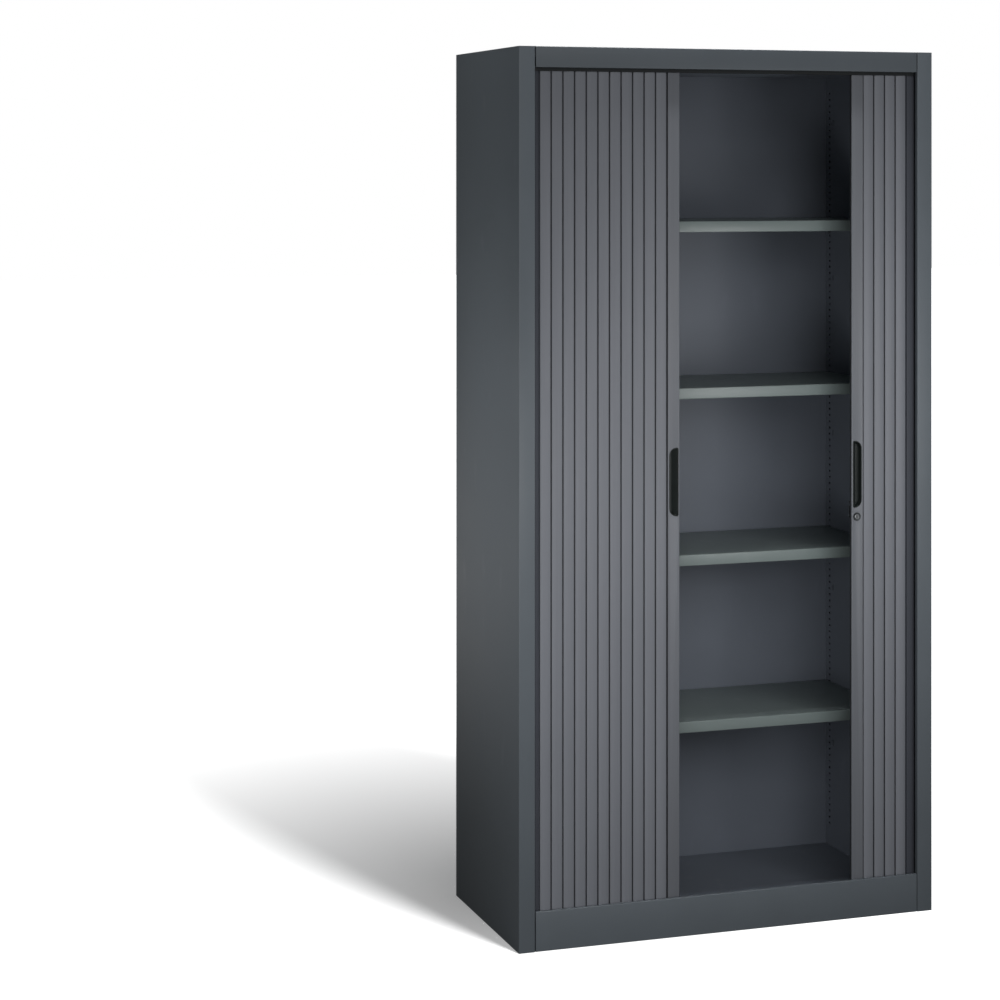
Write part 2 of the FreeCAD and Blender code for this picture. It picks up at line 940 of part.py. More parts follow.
def levelling_feet():
    """Four pads, each with its threaded stud."""
    feet = []
    for x, y in foot_places():
        rim = ring_points(foot_pad_radius, 0, 360, foot_pad_sides_count, x, y)
        pad = prism("z", rim[:-1], 0, base_rail_lift)
        feet.append(fuse([pad, stud_prism(x, y, 0, 0, foot_stud_length)]))
    return Part.makeCompound(feet)


def foot_nuts():
    """Hexagon nuts that hold the studs on the base rails."""
    low = base_rail_lift + base_rail_sheet
    high = low + nut_height
    nuts = []
    for x, y in foot_places():
        corners = ring_points(nut_across_flats / 2, 0, 360, nut_sides_count, x, y)
        nut = prism("z", corners[:-1], low, high)
        nuts.append(nut.cut(stud_prism(x, y, foot_hole_gap, low - overrun, high + overrun)))
    return Part.makeCompound(nuts)


def case_pieces():
    """Panels, rails and walls of the case."""
    pieces = {
        "top_panel": top_panel(),
        "top_rail": top_rail(),
        "plinth": plinth(),
        "bottom_panel": bottom_panel(),
        "ceiling_panel": ceiling_panel(),
        "back_panel": back_panel(),
        "rear_base_rail": rear_base_rail(),
        "levelling_feet": levelling_feet(),
        "foot_nuts": foot_nuts(),
    }
    halves = {
        "side_panel": side_panel(),
        "inner_wall": inner_wall(),
        "front_upright": front_upright(),
        "rear_upright": rear_upright(),
        "base_rail": base_rail(),
        "top_pocket_track": pocket_track(*top_levels()),
        "bottom_pocket_track": pocket_track(*bottom_levels()),
    }
    for name, shape in halves.items():
        pieces["left_" + name] = shape
        pieces["right_" + name] = mirrored(shape)
    pieces["top_front_track"] = straight_track(*top_levels())
    pieces["bottom_front_track"] = straight_track(*bottom_levels())
    return pieces


def shelf_pieces():
    """Shelves, numbered from the bottom, and their clips."""
    pieces = {"shelf_clips": shelf_clips()}
    for number in range(shelf_count):
        pieces[f"shelf_{number + 1}"] = shelf(number)
    return pieces


def shutter_pieces(side, edge_out, with_lock, turn):
    """Everything of one shutter; turn puts the left-hand shape on its own side."""
    slats, gliders = curtain(edge_out)
    moving = front_slat_count(edge_out)
    stile_glider = placed_on_chord(
        glider_solid(stile_width), V(-edge_out, hinge_line, 0), V(-edge_out - stile_width, hinge_line, 0),
    )
    pieces = {
        side + "_lead_stile": lead_stile(edge_out, with_lock),
        side + "_handle": grip(edge_out),
        side + "_gliders": Part.makeCompound([stile_glider] + gliders[:moving]),
        side + "_stored_slats": Part.makeCompound(slats[moving:]),
    }
    for number in range(moving):
        pieces[f"{side}_slat_{number + 1:02d}"] = slats[number]
    stored_gliders = [turn(shape) for shape in gliders[moving:]]
    return {name: turn(shape) for name, shape in pieces.items()}, stored_gliders


def lock_pieces():
    """The lock on the right stile and its keeper on the left one."""
    return {
        "lock_housing": lock_housing(),
        "lock_plug": lock_plug(),
        "lock_cam": lock_cam(),
        "cam_screw": cam_screw(),
        "lock_keeper": lock_keeper(),
    }


def all_pieces():
    """Every piece of the cabinet by name."""
    left, left_stored = shutter_pieces("left", left_edge_out, False, lambda shape: shape)
    right, right_stored = shutter_pieces("right", right_edge_out, True, mirrored)
    pieces = {**case_pieces(), **shelf_pieces(), **left, **right, **lock_pieces()}
    pieces["stored_gliders"] = Part.makeCompound(left_stored + right_stored)
    return pieces


def main():
    """Write one STEP file for each piece."""
    os.makedirs("parts", exist_ok=True)
    for name, shape in sorted(all_pieces().items()):
        shape.exportStep(f"parts/{name}.step")
        print(name, len(shape.Solids), round(shape.Volume), shape.isValid())


main()
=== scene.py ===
import logging
import math
from dataclasses import dataclass
from enum import Enum
from typing import Callable, Iterable, Optional, Sequence, Union

import bmesh
import bpy
from mathutils import Matrix, Vector


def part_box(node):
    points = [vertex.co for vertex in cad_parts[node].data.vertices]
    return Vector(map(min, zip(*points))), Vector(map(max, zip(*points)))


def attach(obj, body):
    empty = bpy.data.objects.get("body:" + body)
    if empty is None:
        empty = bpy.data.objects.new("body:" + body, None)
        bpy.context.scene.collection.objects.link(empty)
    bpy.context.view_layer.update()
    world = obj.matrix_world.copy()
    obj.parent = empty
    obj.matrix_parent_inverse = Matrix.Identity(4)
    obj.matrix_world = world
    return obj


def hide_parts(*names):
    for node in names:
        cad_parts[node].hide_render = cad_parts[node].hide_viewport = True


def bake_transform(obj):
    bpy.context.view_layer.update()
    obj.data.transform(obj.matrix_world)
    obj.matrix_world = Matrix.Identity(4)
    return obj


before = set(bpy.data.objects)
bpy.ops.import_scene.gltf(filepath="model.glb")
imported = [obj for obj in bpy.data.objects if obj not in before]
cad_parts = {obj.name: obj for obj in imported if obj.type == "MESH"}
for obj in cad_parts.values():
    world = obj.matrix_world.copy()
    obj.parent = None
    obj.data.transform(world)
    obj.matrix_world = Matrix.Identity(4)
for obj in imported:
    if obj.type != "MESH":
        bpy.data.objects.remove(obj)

MM = 0.001
TOUCHING = 0.001 * MM
CLOSE = 0.01 * MM
LOG = logging.getLogger("roll_front_cabinet")
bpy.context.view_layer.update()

Pair = tuple[float, float]
Place = tuple[float, float, float]
Colour = tuple[float, float, float]


# Small helpers


def linear(level: int) -> float:
    """Linear value of a display number from 0 to 255."""
    share = level / 255
    return share / 12.92 if share <= 0.04045 else ((share + 0.055) / 1.055) ** 2.4


def shade(red: int, green: int, blue: int) -> Colour:
    """Linear colour of a shade given by its three display numbers."""
    return linear(red), linear(green), linear(blue)


def tinted(colour: Colour, share: float) -> Colour:
    """The same colour, lighter or darker by a share."""
    return tuple(max(0.0, level * (1 + share)) for level in colour)


def both_sides(*kinds: str) -> list[str]:
    """Names of the left and the right node of each kind."""
    return [f"{side}_{kind}" for kind in kinds for side in ("left", "right")]


class Part(Enum):
    """What kind of mesh element a selection picks."""

    VERTEX = "VERT"
    EDGE = "EDGE"
    FACE = "FACE"


class Axis(Enum):
    """The axis that a folded section is drawn square to."""

    X = 0
    Z = 2

    def place(self, first: float, second: float, along: float) -> Vector:
        """Point in space of a section point.

        Args:
            first: its y on a section square to X, its x on one square to Z.
            second: its z on a section square to X, its y on one square to Z.
            along: its place on the axis.

        Returns:
            The point.
        """
        values = [first, second]
        values.insert(self.value, along)
        return Vector(values)


def middle_of(element: Union[bmesh.types.BMEdge, bmesh.types.BMFace]) -> Vector:
    """Middle of an edge's or face's corners."""
    corners = [vertex.co for vertex in element.verts]
    return sum(corners, Vector()) / len(corners)


def runs_along(edge: bmesh.types.BMEdge, axis: int) -> bool:
    """Whether an edge runs along an axis: 0 for X, 1 for Y, 2 for Z."""
    way = edge.verts[1].co - edge.verts[0].co
    return abs(way[axis]) > CLOSE and way.length - abs(way[axis]) < CLOSE


# Modelling bench


class Bench:
    """The operators that shape every piece."""

    @staticmethod
    def clear() -> None:
        """Leave nothing selected, and no piece in edit mode."""
        if bpy.context.object and bpy.context.object.mode != "OBJECT":
            bpy.ops.object.mode_set(mode="OBJECT")
        bpy.ops.object.select_all(action="DESELECT")

    @staticmethod
    def pick(*pieces: bpy.types.Object) -> None:
        """Select these pieces alone.

        Args:
            pieces: the pieces, of which the first is made active.
        """
        Bench.clear()
        for piece in pieces:
            piece.select_set(True)
        bpy.context.view_layer.objects.active = pieces[0]

    @staticmethod
    def settle(piece: bpy.types.Object, name: str) -> bpy.types.Object:
        """Name a piece and put its place, turn and size into its mesh.

        Args:
            piece: the piece.
            name: its name.

        Returns:
            The same piece.
        """
        piece.name = name
        piece.data.name = name
        Bench.pick(piece)
        bpy.ops.object.transform_apply(location=True, rotation=True, scale=True)
        return piece

    @staticmethod
    def block(name: str, low: Sequence[float], high: Sequence[float]) -> bpy.types.Object:
        """A block between two corners.

        Args:
            name: name of the piece.
            low: lowest corner.
            high: highest corner.

        Returns:
            The new piece.
        """
        first, last = Vector(low), Vector(high)
        Bench.clear()
        bpy.ops.mesh.primitive_cube_add(size=1, location=(first + last) / 2)
        bpy.context.object.scale = last - first
        return Bench.settle(bpy.context.object, name)

    @staticmethod
    def round_bar(
        name: str, radius: float, start: Sequence[float], end: Sequence[float], sides: int
    ) -> bpy.types.Object:
        """A round bar between two points.

        Args:
            name: name of the piece.
            radius: its radius.
            start: middle of its first end.
            end: middle of its other end.
            sides: number of sides round it.

        Returns:
            The new piece.
        """
        first, last = Vector(start), Vector(end)
        turn = (last - first).to_track_quat("Z", "Y").to_euler()
        Bench.clear()
        bpy.ops.mesh.primitive_cylinder_add(
            vertices=sides, radius=radius, depth=(last - first).length, location=(first + last) / 2,
            rotation=turn,
        )
        return Bench.settle(bpy.context.object, name)

    @staticmethod
    def edit(piece: bpy.types.Object) -> None:
        """Open a piece for editing."""
        Bench.pick(piece)
        bpy.ops.object.mode_set(mode="EDIT")

    @staticmethod
    def done() -> None:
        """Close the piece that is open for editing."""
        bpy.ops.object.mode_set(mode="OBJECT")

    @staticmethod
    def turn_out() -> None:
        """Turn the faces of the piece under edit outwards, and close it."""
        bpy.ops.mesh.select_all(action="SELECT")
        bpy.ops.mesh.normals_make_consistent(inside=False)
        Bench.done()

    @staticmethod
    def select(piece: bpy.types.Object, kind: Part, test: Callable[..., bool]) -> None:
        """Select the elements of an open piece that pass a test.

        Args:
            piece: the piece that is open for editing.
            kind: whether vertices, edges or faces are tested.
            test: tells whether an element is wanted.
        """
        bpy.ops.mesh.select_mode(type=kind.value)
        bpy.ops.mesh.select_all(action="DESELECT")
        mesh = bmesh.from_edit_mesh(piece.data)
        elements = {Part.VERTEX: mesh.verts, Part.EDGE: mesh.edges, Part.FACE: mesh.faces}[kind]
        for element in filter(test, elements):
            element.select_set(True)
        bmesh.update_edit_mesh(piece.data)

    @staticmethod
    def push(value: Sequence[float]) -> None:
        """Extrude what is selected by a step."""
        bpy.ops.mesh.extrude_region_move(TRANSFORM_OT_translate={"value": tuple(value)})

    @staticmethod
    def apply(piece: bpy.types.Object, kind: str, **settings: object) -> None:
        """Add a modifier to a piece and apply it.

        Args:
            piece: the piece.
            kind: the modifier's type.
            settings: its settings by name.
        """
        Bench.pick(piece)
        modifier = piece.modifiers.new(kind.title(), kind)
        for name, value in settings.items():
            setattr(modifier, name, value)
        bpy.ops.object.modifier_apply(modifier=modifier.name)

    @staticmethod
    def soften(piece: bpy.types.Object, width: float, segments: int = 2, angle: float = 40) -> None:
        """Round off the sharp edges of a piece.

        Args:
            piece: the piece.
            width: how far the rounding reaches.
            segments: number of its steps.
            angle: how sharp, in degrees, an edge must be.
        """
        Bench.apply(
            piece, "BEVEL", width=width, segments=segments, limit_method="ANGLE",
            angle_limit=math.radians(angle),
        )

    @staticmethod
    def carve(piece: bpy.types.Object, cutter: bpy.types.Object) -> None:
        """Cut a piece with another, which is used up.

        Args:
            piece: the piece that stays.
            cutter: the piece that is used up.
        """
        Bench.apply(piece, "BOOLEAN", operation="DIFFERENCE", solver="EXACT", object=cutter)
        bpy.data.objects.remove(cutter)

    @staticmethod
    def join(pieces: Sequence[bpy.types.Object], name: str) -> bpy.types.Object:
        """Join pieces into the first one.

        Args:
            pieces: the pieces.
            name: name of the joined piece.

        Returns:
            The joined piece.
        """
        Bench.pick(*pieces)
        bpy.ops.object.join()
        pieces[0].name = name
        pieces[0].data.name = name
        return pieces[0]

    @staticmethod
    def smooth(piece: bpy.types.Object, angle: float = 35) -> None:
        """Shade a piece smooth across its blunt edges.

        Args:
            piece: the piece.
            angle: faces that meet at less than this many degrees are shaded smooth.
        """
        Bench.pick(piece)
        bpy.ops.object.shade_smooth_by_angle(angle=math.radians(angle))
        Bench.clear()

    @staticmethod
    def copy(piece: bpy.types.Object, name: str, move: Matrix) -> bpy.types.Object:
        """A copy of a piece with its own mesh, moved or mirrored.

        Args:
            piece: the piece to copy.
            name: name of the copy.
            move: where the copy goes.

        Returns:
            The copy.
        """
        twin = piece.copy()
        twin.data = piece.data.copy()
        twin.name = name
        twin.data.name = name
        bpy.context.scene.collection.objects.link(twin)
        twin.data.transform(move)
        if move.determinant() < 0:
            twin.data.flip_normals()
        return twin

    @staticmethod
    def fold(
        name: str, axis: Axis, path: Sequence[Pair], span: Pair, thickness: float, bend: float = 0.8 * MM,
        rim: float = 0.12 * MM,
    ) -> bpy.types.Object:
        """Sheet metal folded along a path, its metal to the path's left.

        Args:
            name: name of the piece.
            axis: the axis that the folds run along.
            path: section points of the outer face.
            span: where the sheet starts and stops on the axis.
            thickness: of the sheet.
            bend: inside radius of the folds.
            rim: rounding of the sheet's cut edges.

        Returns:
            The folded piece.
        """
        centre = (span[0] + span[1]) / 2
        corners = [axis.place(first, second, centre) for first, second in path]
        leg = corners[1] - corners[0]
        along = axis.place(0, 0, 1)
        facing = leg.normalized().cross(along)
        turn = Matrix((leg.normalized(), along, facing)).transposed().to_euler()
        Bench.clear()
        bpy.ops.mesh.primitive_plane_add(size=1, location=(corners[0] + corners[1]) / 2, rotation=turn)
        bpy.context.object.scale = (leg.length, span[1] - span[0], 1)
        sheet = Bench.settle(bpy.context.object, name)
        Bench.edit(sheet)
        for here, there in zip(corners[1:], corners[2:]):
            Bench.select(sheet, Part.EDGE, lambda edge: Bench.lies_on(edge, here, along))
            Bench.push(there - here)
        bends = corners[1:-1]
        Bench.select(
            sheet, Part.EDGE, lambda edge: any(Bench.lies_on(edge, corner, along) for corner in bends)
        )
        if bends:
            bpy.ops.mesh.bevel(offset=bend + thickness, segments=4, affect="EDGES")
        Bench.done()
        left = axis.place(path[0][1] - path[1][1], path[1][0] - path[0][0], 0)
        side = 1 if left.dot(facing) > 0 else -1
        Bench.apply(sheet, "SOLIDIFY", thickness=thickness, offset=side, use_even_offset=True)
        Bench.soften(sheet, rim, 2, 50)
        return sheet

    @staticmethod
    def lies_on(edge: bmesh.types.BMEdge, point: Vector, along: Vector) -> bool:
        """Whether an edge lies on the line through a point."""
        return all((vertex.co - point).cross(along).length < TOUCHING for vertex in edge.verts)


# Shader bench


class Flow:
    """A number that flows through a material, on which Python's operators work."""

    def __init__(self, paint: "Paint", socket: bpy.types.NodeSocket) -> None:
        """Wrap a socket.

        Args:
            paint: the material under work.
            socket: the output that gives the number.
        """
        self.paint = paint
        self.socket = socket

    def sum_up(self, operation: str, first: object, second: object) -> "Flow":
        """Number that a Math node makes of two.

        Args:
            operation: the node's operation.
            first: a number or flow.
            second: a number or flow.

        Returns:
            The result.
        """
        return self.paint.number("ShaderNodeMath", {"operation": operation}, {0: first, 1: second})

    def __add__(self, other: object) -> "Flow":
        """Sum."""
        return self.sum_up("ADD", self, other)

    __radd__ = __add__

    def __sub__(self, other: object) -> "Flow":
        """Difference."""
        return self.sum_up("SUBTRACT", self, other)

    def __rsub__(self, other: object) -> "Flow":
        """Difference from a number."""
        return self.sum_up("SUBTRACT", other, self)

    def __mul__(self, other: object) -> "Flow":
        """Product."""
        return self.sum_up("MULTIPLY", self, other)

    __rmul__ = __mul__

    def swing(self, share: float) -> "Flow":
        """How far the number stands from one half, times a share."""
        return (self - 0.5) * share

    def between(self, low: float, high: float) -> "Flow":
        """Share of the way from one number to another, held from 0 to 1.

        Args:
            low: where the share is 0.
            high: where the share is 1.

        Returns:
            The share.
        """
        return self.paint.number(
            "ShaderNodeMapRange", {"clamp": True}, {"Value": self, "From Min": low, "From Max": high}
        )


class Paint:
    """One material, or the world, under work."""

    def __init__(self, block: Union[bpy.types.Material, bpy.types.World]) -> None:
        """Start without nodes.

        Args:
            block: the material or world.
        """
        self.block = block
        block.use_nodes = True
        self.tree = block.node_tree
        self.tree.nodes.clear()

    @classmethod
    def named(cls, name: str) -> "Paint":
        """Start a new material."""
        return cls(bpy.data.materials.new(name))

    def node(
        self, kind: str, settings: Optional[dict[str, object]] = None, inputs: Optional[dict] = None
    ) -> bpy.types.Node:
        """Add a node.

        Args:
            kind: the node's type.
            settings: its settings by name.
            inputs: values or links of its sockets by name or number.

        Returns:
            The node.
        """
        made = self.tree.nodes.new(kind)
        for name, value in (settings or {}).items():
            setattr(made, name, value)
        for key, value in (inputs or {}).items():
            socket = made.inputs[key]
            if isinstance(value, Flow):
                value = value.socket
            if isinstance(value, bpy.types.NodeSocket):
                self.tree.links.new(value, socket)
            else:
                socket.default_value = value
        return made

    def number(self, kind: str, settings: dict[str, object], inputs: dict, output: object = 0) -> Flow:
        """Number that a node gives.

        Args:
            kind: the node's type.
            settings: its settings by name.
            inputs: values or links of its sockets.
            output: which output is read.

        Returns:
            The number.
        """
        return Flow(self, self.node(kind, settings, inputs).outputs[output])

    def place(self, scale: Sequence[float] = (1, 1, 1)) -> bpy.types.NodeSocket:
        """Place on the object, in metres, stretched by a scale.

        Args:
            scale: the stretch along each axis.

        Returns:
            The socket.
        """
        spot = self.node("ShaderNodeTexCoord").outputs["Object"]
        return self.node("ShaderNodeMapping", {}, {"Vector": spot, "Scale": scale}).outputs[0]

    def noise(self, scale: float, detail: float = 2, stretch: Sequence[float] = (1, 1, 1)) -> Flow:
        """Cloudy number about one half.

        Args:
            scale: clouds in a metre.
            detail: how fine it gets.
            stretch: stretch along each axis.

        Returns:
            The number.
        """
        return self.number(
            "ShaderNodeTexNoise", {}, {"Vector": self.place(stretch), "Scale": scale, "Detail": detail}
        )

    def cells(self, scale: float, output: str) -> Flow:
        """Number of a pattern of small cells.

        Args:
            scale: cells in a metre.
            output: "Distance" from a cell's middle, or the "Color" of each cell.

        Returns:
            The number.
        """
        return self.number(
            "ShaderNodeTexVoronoi", {"feature": "F1"}, {"Vector": self.place(), "Scale": scale}, output
        )

    def blend(self, share: Flow, first: object, second: object) -> bpy.types.NodeSocket:
        """Colour between two.

        Args:
            share: 0 for the first colour, 1 for the second.
            first: a linear colour or a socket.
            second: a linear colour or a socket.

        Returns:
            The socket.
        """
        first = (*first, 1) if isinstance(first, tuple) else first
        second = (*second, 1) if isinstance(second, tuple) else second
        mixer = self.node(
            "ShaderNodeMix", {"data_type": "RGBA", "clamp_factor": True}, {0: share, 6: first, 7: second}
        )
        return mixer.outputs[2]

    def bump(self, height: Flow, depth: float, strength: float = 1.0) -> bpy.types.NodeSocket:
        """Surface turned by a height.

        Args:
            height: the height, from 0 to 1.
            depth: how many metres that is.
            strength: how much of it shows.

        Returns:
            The socket.
        """
        turned = self.node(
            "ShaderNodeBump", {}, {"Height": height, "Distance": depth, "Strength": strength}
        )
        return turned.outputs[0]

    def finish(self, **sockets: object) -> bpy.types.Material:
        """Close the material with a surface shader.

        Args:
            sockets: values or links of the shader, with underscores for spaces.

        Returns:
            The material.
        """
        values = {key.replace("_", " "): value for key, value in sockets.items()}
        surface = self.node("ShaderNodeBsdfPrincipled", {}, values)
        return self.close("ShaderNodeOutputMaterial", surface)

    def close(self, kind: str, surface: bpy.types.Node) -> Union[bpy.types.Material, bpy.types.World]:
        """Lead a shader to the output.

        Args:
            kind: the output node's type.
            surface: the shader's node.

        Returns:
            The material or world.
        """
        self.node(kind, {}, {"Surface": surface.outputs[0]})
        return self.block


@dataclass(frozen=True)
class PowderCoat:
    """Baked powder paint on sheet steel: satin, faintly pebbled, with slight clouding and rubbed spots."""

    name: str
    colour: Colour
    roughness: float = 0.42
    specular: float = 0.35
    clouding: float = 0.05
    rubbed: float = 0.22
    cloud_scale: float = 7
    grain_scale: float = 900
    speck_scale: float = 2600
    rub_scale: float = 24
    pebble: float = 0.048 * MM

    def make(self) -> bpy.types.Material:
        """Make the material.

        Returns:
            The material.
        """
        paint = Paint.named(self.name)
        clouds = paint.noise(self.cloud_scale, 3)
        grain = paint.noise(self.grain_scale, 1)
        speck = paint.noise(self.speck_scale, 0)
        tone = clouds.swing(1.6) + grain.swing(0.7) + 0.5
        base = paint.blend(tone, tinted(self.colour, -self.clouding), tinted(self.colour, self.clouding))
        rub = paint.noise(self.rub_scale, 4, (1, 1, 0.35)).between(0.62, 0.8)
        base = paint.blend(rub * 0.25, base, tinted(self.colour, self.rubbed))
        rough = clouds.swing(0.12) + grain.swing(0.08) + rub * -0.06 + self.roughness
        height = grain * 0.75 + speck * 0.25
        return paint.finish(
            Base_Color=base, Roughness=rough, Normal=paint.bump(height, self.pebble, 0.55),
            Specular_IOR_Level=self.specular,
        )


@dataclass(frozen=True)
class ExtrudedPlastic:
    """Extruded plastic with faint draw lines along its length, and painted shade behind its groove line,
    if any.
    """

    name: str
    colour: Colour
    roughness: float = 0.5
    specular: float = 0.3
    groove_line: float = 1.0
    # painted shade: how far behind the groove line the colour darkens, and by how much
    groove_shade_run: float = 1.0 * MM
    groove_shade: float = 0.85
    tint: float = 0.07
    draw_scale: float = 1400
    broad_scale: float = 260
    cloud_scale: float = 5
    fine_scale: float = 3200
    draw_depth: float = 0.018 * MM

    def make(self) -> bpy.types.Material:
        """Make the material.

        Returns:
            The material.
        """
        paint = Paint.named(self.name)
        draw = paint.noise(self.draw_scale, 2, (1, 1, 0.006))
        broad = paint.noise(self.broad_scale, 2, (1, 1, 0.004))
        clouds = paint.noise(self.cloud_scale, 2, (1, 1, 0.4))
        fine = paint.noise(self.fine_scale, 0)
        tone = draw.swing(0.9) + broad.swing(0.8) + clouds.swing(1.1) + 0.5
        base = paint.blend(tone, tinted(self.colour, -self.tint), tinted(self.colour, self.tint))
        depth = paint.number(
            "ShaderNodeVectorMath", {"operation": "DOT_PRODUCT"}, {0: paint.place(), 1: (0, 1, 0)}, "Value"
        )
        # painted shade: the base colour darkens behind the groove line, standing in for the shade in the
        # grooves between the slats; it also darkens the backs
        groove_shade = depth.between(self.groove_line, self.groove_line + self.groove_shade_run)
        base = paint.blend(groove_shade * self.groove_shade, base, tinted(self.colour, -self.groove_shade))
        rough = broad.swing(0.16) + fine.swing(0.1) + self.roughness
        height = draw * 0.6 + fine * 0.4
        return paint.finish(
            Base_Color=base, Roughness=rough, Normal=paint.bump(height, self.draw_depth, 0.5),
            Specular_IOR_Level=self.specular,
        )


@dataclass(frozen=True)
class MouldedPlastic:
    """Black moulded plastic with a fine eroded grain and a few bright handling marks."""

    name: str
    colour: Colour
    roughness: float = 0.42
    specular: float = 0.25
    handled: float = 0.6
    grain_scale: float = 2200
    cloud_scale: float = 60
    wear_scale: float = 300
    grain_depth: float = 0.02 * MM

    def make(self) -> bpy.types.Material:
        """Make the material.

        Returns:
            The material.
        """
        paint = Paint.named(self.name)
        cells = paint.cells(self.grain_scale, "Distance")
        cloud = paint.noise(self.cloud_scale, 3)
        wear = paint.noise(self.wear_scale, 3, (1, 1, 0.2)).between(0.6, 0.78)
        base = paint.blend(cloud, tinted(self.colour, -0.2), tinted(self.colour, 0.25))
        base = paint.blend(wear * 0.3, base, tinted(self.colour, self.handled))
        rough = cloud.swing(0.2) + wear * -0.1 + self.roughness
        return paint.finish(
            Base_Color=base, Roughness=rough, Normal=paint.bump(cells, self.grain_depth, 0.5),
            Specular_IOR_Level=self.specular,
        )


@dataclass(frozen=True)
class PlatedMetal:
    """Plated steel: nickel with fine turning marks, or zinc with its cloudy spangle."""

    name: str
    colour: Colour
    roughness: float
    spangle: float = 0.0
    scratch_scale: float = 1800
    spangle_scale: float = 130
    cloud_scale: float = 35
    scratch_depth: float = 0.008 * MM

    def make(self) -> bpy.types.Material:
        """Make the material.

        Returns:
            The material.
        """
        paint = Paint.named(self.name)
        scratch = paint.noise(self.scratch_scale, 3, (1, 0.05, 1))
        cells = paint.cells(self.spangle_scale, "Color")
        cloud = paint.noise(self.cloud_scale, 3)
        tone = scratch.swing(0.5) + cloud.swing(0.8) + cells.swing(self.spangle) + 0.5
        base = paint.blend(tone, tinted(self.colour, -0.18), tinted(self.colour, 0.12))
        rough = cells.swing(self.spangle * 0.3) + scratch.swing(0.2) + self.roughness
        return paint.finish(
            Base_Color=base, Roughness=rough, Metallic=1.0,
            Normal=paint.bump(scratch, self.scratch_depth, 0.4),
        )


class Finishes:
    """All finishes of the cabinet, made once."""

    def __init__(self) -> None:
        """Make every material."""
        slat_shade = shade(125, 128, 135)
        groove = ShutterSizes().groove_line
        fed_groove = groove + ShutterSizes().feed_recess
        stile_shade = shade(116, 119, 125)
        stile_groove = StileSizes().groove_line
        self.case = PowderCoat("case_powder_coat", shade(100, 107, 113)).make()
        # painted light: the inside is a lighter, bluer copy of the case paint; the lighter tone makes up
        # for the weaker light in the interior
        self.inside = PowderCoat("inside_powder_coat", shade(109, 115, 125), 0.48).make()
        self.shelf = PowderCoat("shelf_powder_coat", shade(123, 134, 133), 0.34, 0.5).make()
        # painted shade: the slats, the feed slats and the stiles darken behind their groove lines
        self.slat = ExtrudedPlastic("slat_plastic", slat_shade, groove_line=groove).make()
        self.feed_slat = ExtrudedPlastic("feed_slat_plastic", slat_shade, groove_line=fed_groove).make()
        # painted shade: the pocket slats are the same plastic as the front slats, made darker to stand in
        # for the shade they sit in
        self.pocket_slat = ExtrudedPlastic("pocket_slat_plastic", shade(72, 75, 82), 0.6, 0.15).make()
        self.stile = ExtrudedPlastic("stile_plastic", stile_shade, 0.46, groove_line=stile_groove).make()
        self.grip = MouldedPlastic("grip_plastic", shade(34, 39, 38)).make()
        self.track = ExtrudedPlastic("track_plastic", shade(30, 33, 35)).make()
        self.nickel = PlatedMetal("lock_nickel", shade(116, 118, 120), 0.36).make()
        self.bezel = PlatedMetal("bezel_nickel", shade(66, 69, 71), 0.4).make()
        self.zinc = PlatedMetal("zinc_steel", shade(150, 154, 158), 0.42, 0.7).make()


# Pieces


class Assembly:
    """A sub-assembly that builds its pieces, dresses them and puts them on their bodies."""

    slack = 0.4 * MM

    def __init__(self, finishes: Finishes) -> None:
        """Keep the finishes.

        Args:
            finishes: all finishes of the cabinet.
        """
        self.finishes = finishes

    def place(
        self, piece: bpy.types.Object, material: bpy.types.Material, slot: str, body: str,
        stands_for: Iterable[str] = (), angle: float = 35,
    ) -> None:
        """Dress a piece and put it on its body.

        Args:
            piece: the piece.
            material: its finish.
            slot: a name for the finish; not used.
            body: the body that it moves with.
            stands_for: the nodes that it replaces.
            angle: faces that meet at less than this many degrees are shaded smooth.
        """
        piece.data.materials.clear()
        piece.data.materials.append(material)
        Bench.smooth(piece, angle)
        names = list(stands_for)
        if names:
            self.compare(piece, names)
            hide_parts(*names)
        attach(piece, body)
        LOG.info("%s: %d faces on %s", piece.name, len(piece.data.polygons), body)

    def compare(self, piece: bpy.types.Object, names: Sequence[str]) -> None:
        """Report where a piece's box leaves that of the nodes that it replaces.

        Args:
            piece: the piece.
            names: the nodes.
        """
        boxes = [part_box(name) for name in names]
        for axis in range(3):
            places = [vertex.co[axis] for vertex in piece.data.vertices]
            low = min(places) - min(box[0][axis] for box in boxes)
            high = max(places) - max(box[1][axis] for box in boxes)
            if max(abs(low), abs(high)) > self.slack:
                LOG.warning("%s, axis %d: %+.2f and %+.2f mm", piece.name, axis, low / MM, high / MM)

    @staticmethod
    def paint_nodes(material: bpy.types.Material, *names: str) -> None:
        """Give nodes that stay a finish.

        Args:
            material: the finish.
            names: the nodes.
        """
        for name in names:
            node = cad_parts[name]
            node.data.materials.clear()
            node.data.materials.append(material)
            LOG.info("%s keeps its shape", name)


MIRROR = Matrix.Diagonal((-1, 1, 1, 1))


@dataclass
class CaseSizes:
    """Sizes of the case, in metres."""

    half_width: float = 500 * MM
    front: float = -210 * MM
    back: float = 210 * MM
    height: float = 1950 * MM
    sheet: float = 1 * MM
    post_width: float = 37 * MM
    post_lip: float = 11 * MM
    rear_flange: float = 30 * MM
    seam: float = 2 * MM
    rail_height: float = 45 * MM
    rail_lower_return: float = 8 * MM
    rail_upper_return: float = 10 * MM
    plinth_height: float = 86 * MM
    plinth_upper_return: float = 7 * MM
    plinth_lower_return: float = 20 * MM
    lip_top_gap: float = 0.3 * MM
    overrun: float = 2 * MM

    @property
    def ceiling(self) -> float:
        """Height of the ceiling."""
        return self.height - self.rail_height

    @property
    def frame_half(self) -> float:
        """Half the width between the posts."""
        return self.half_width - self.post_width - self.seam


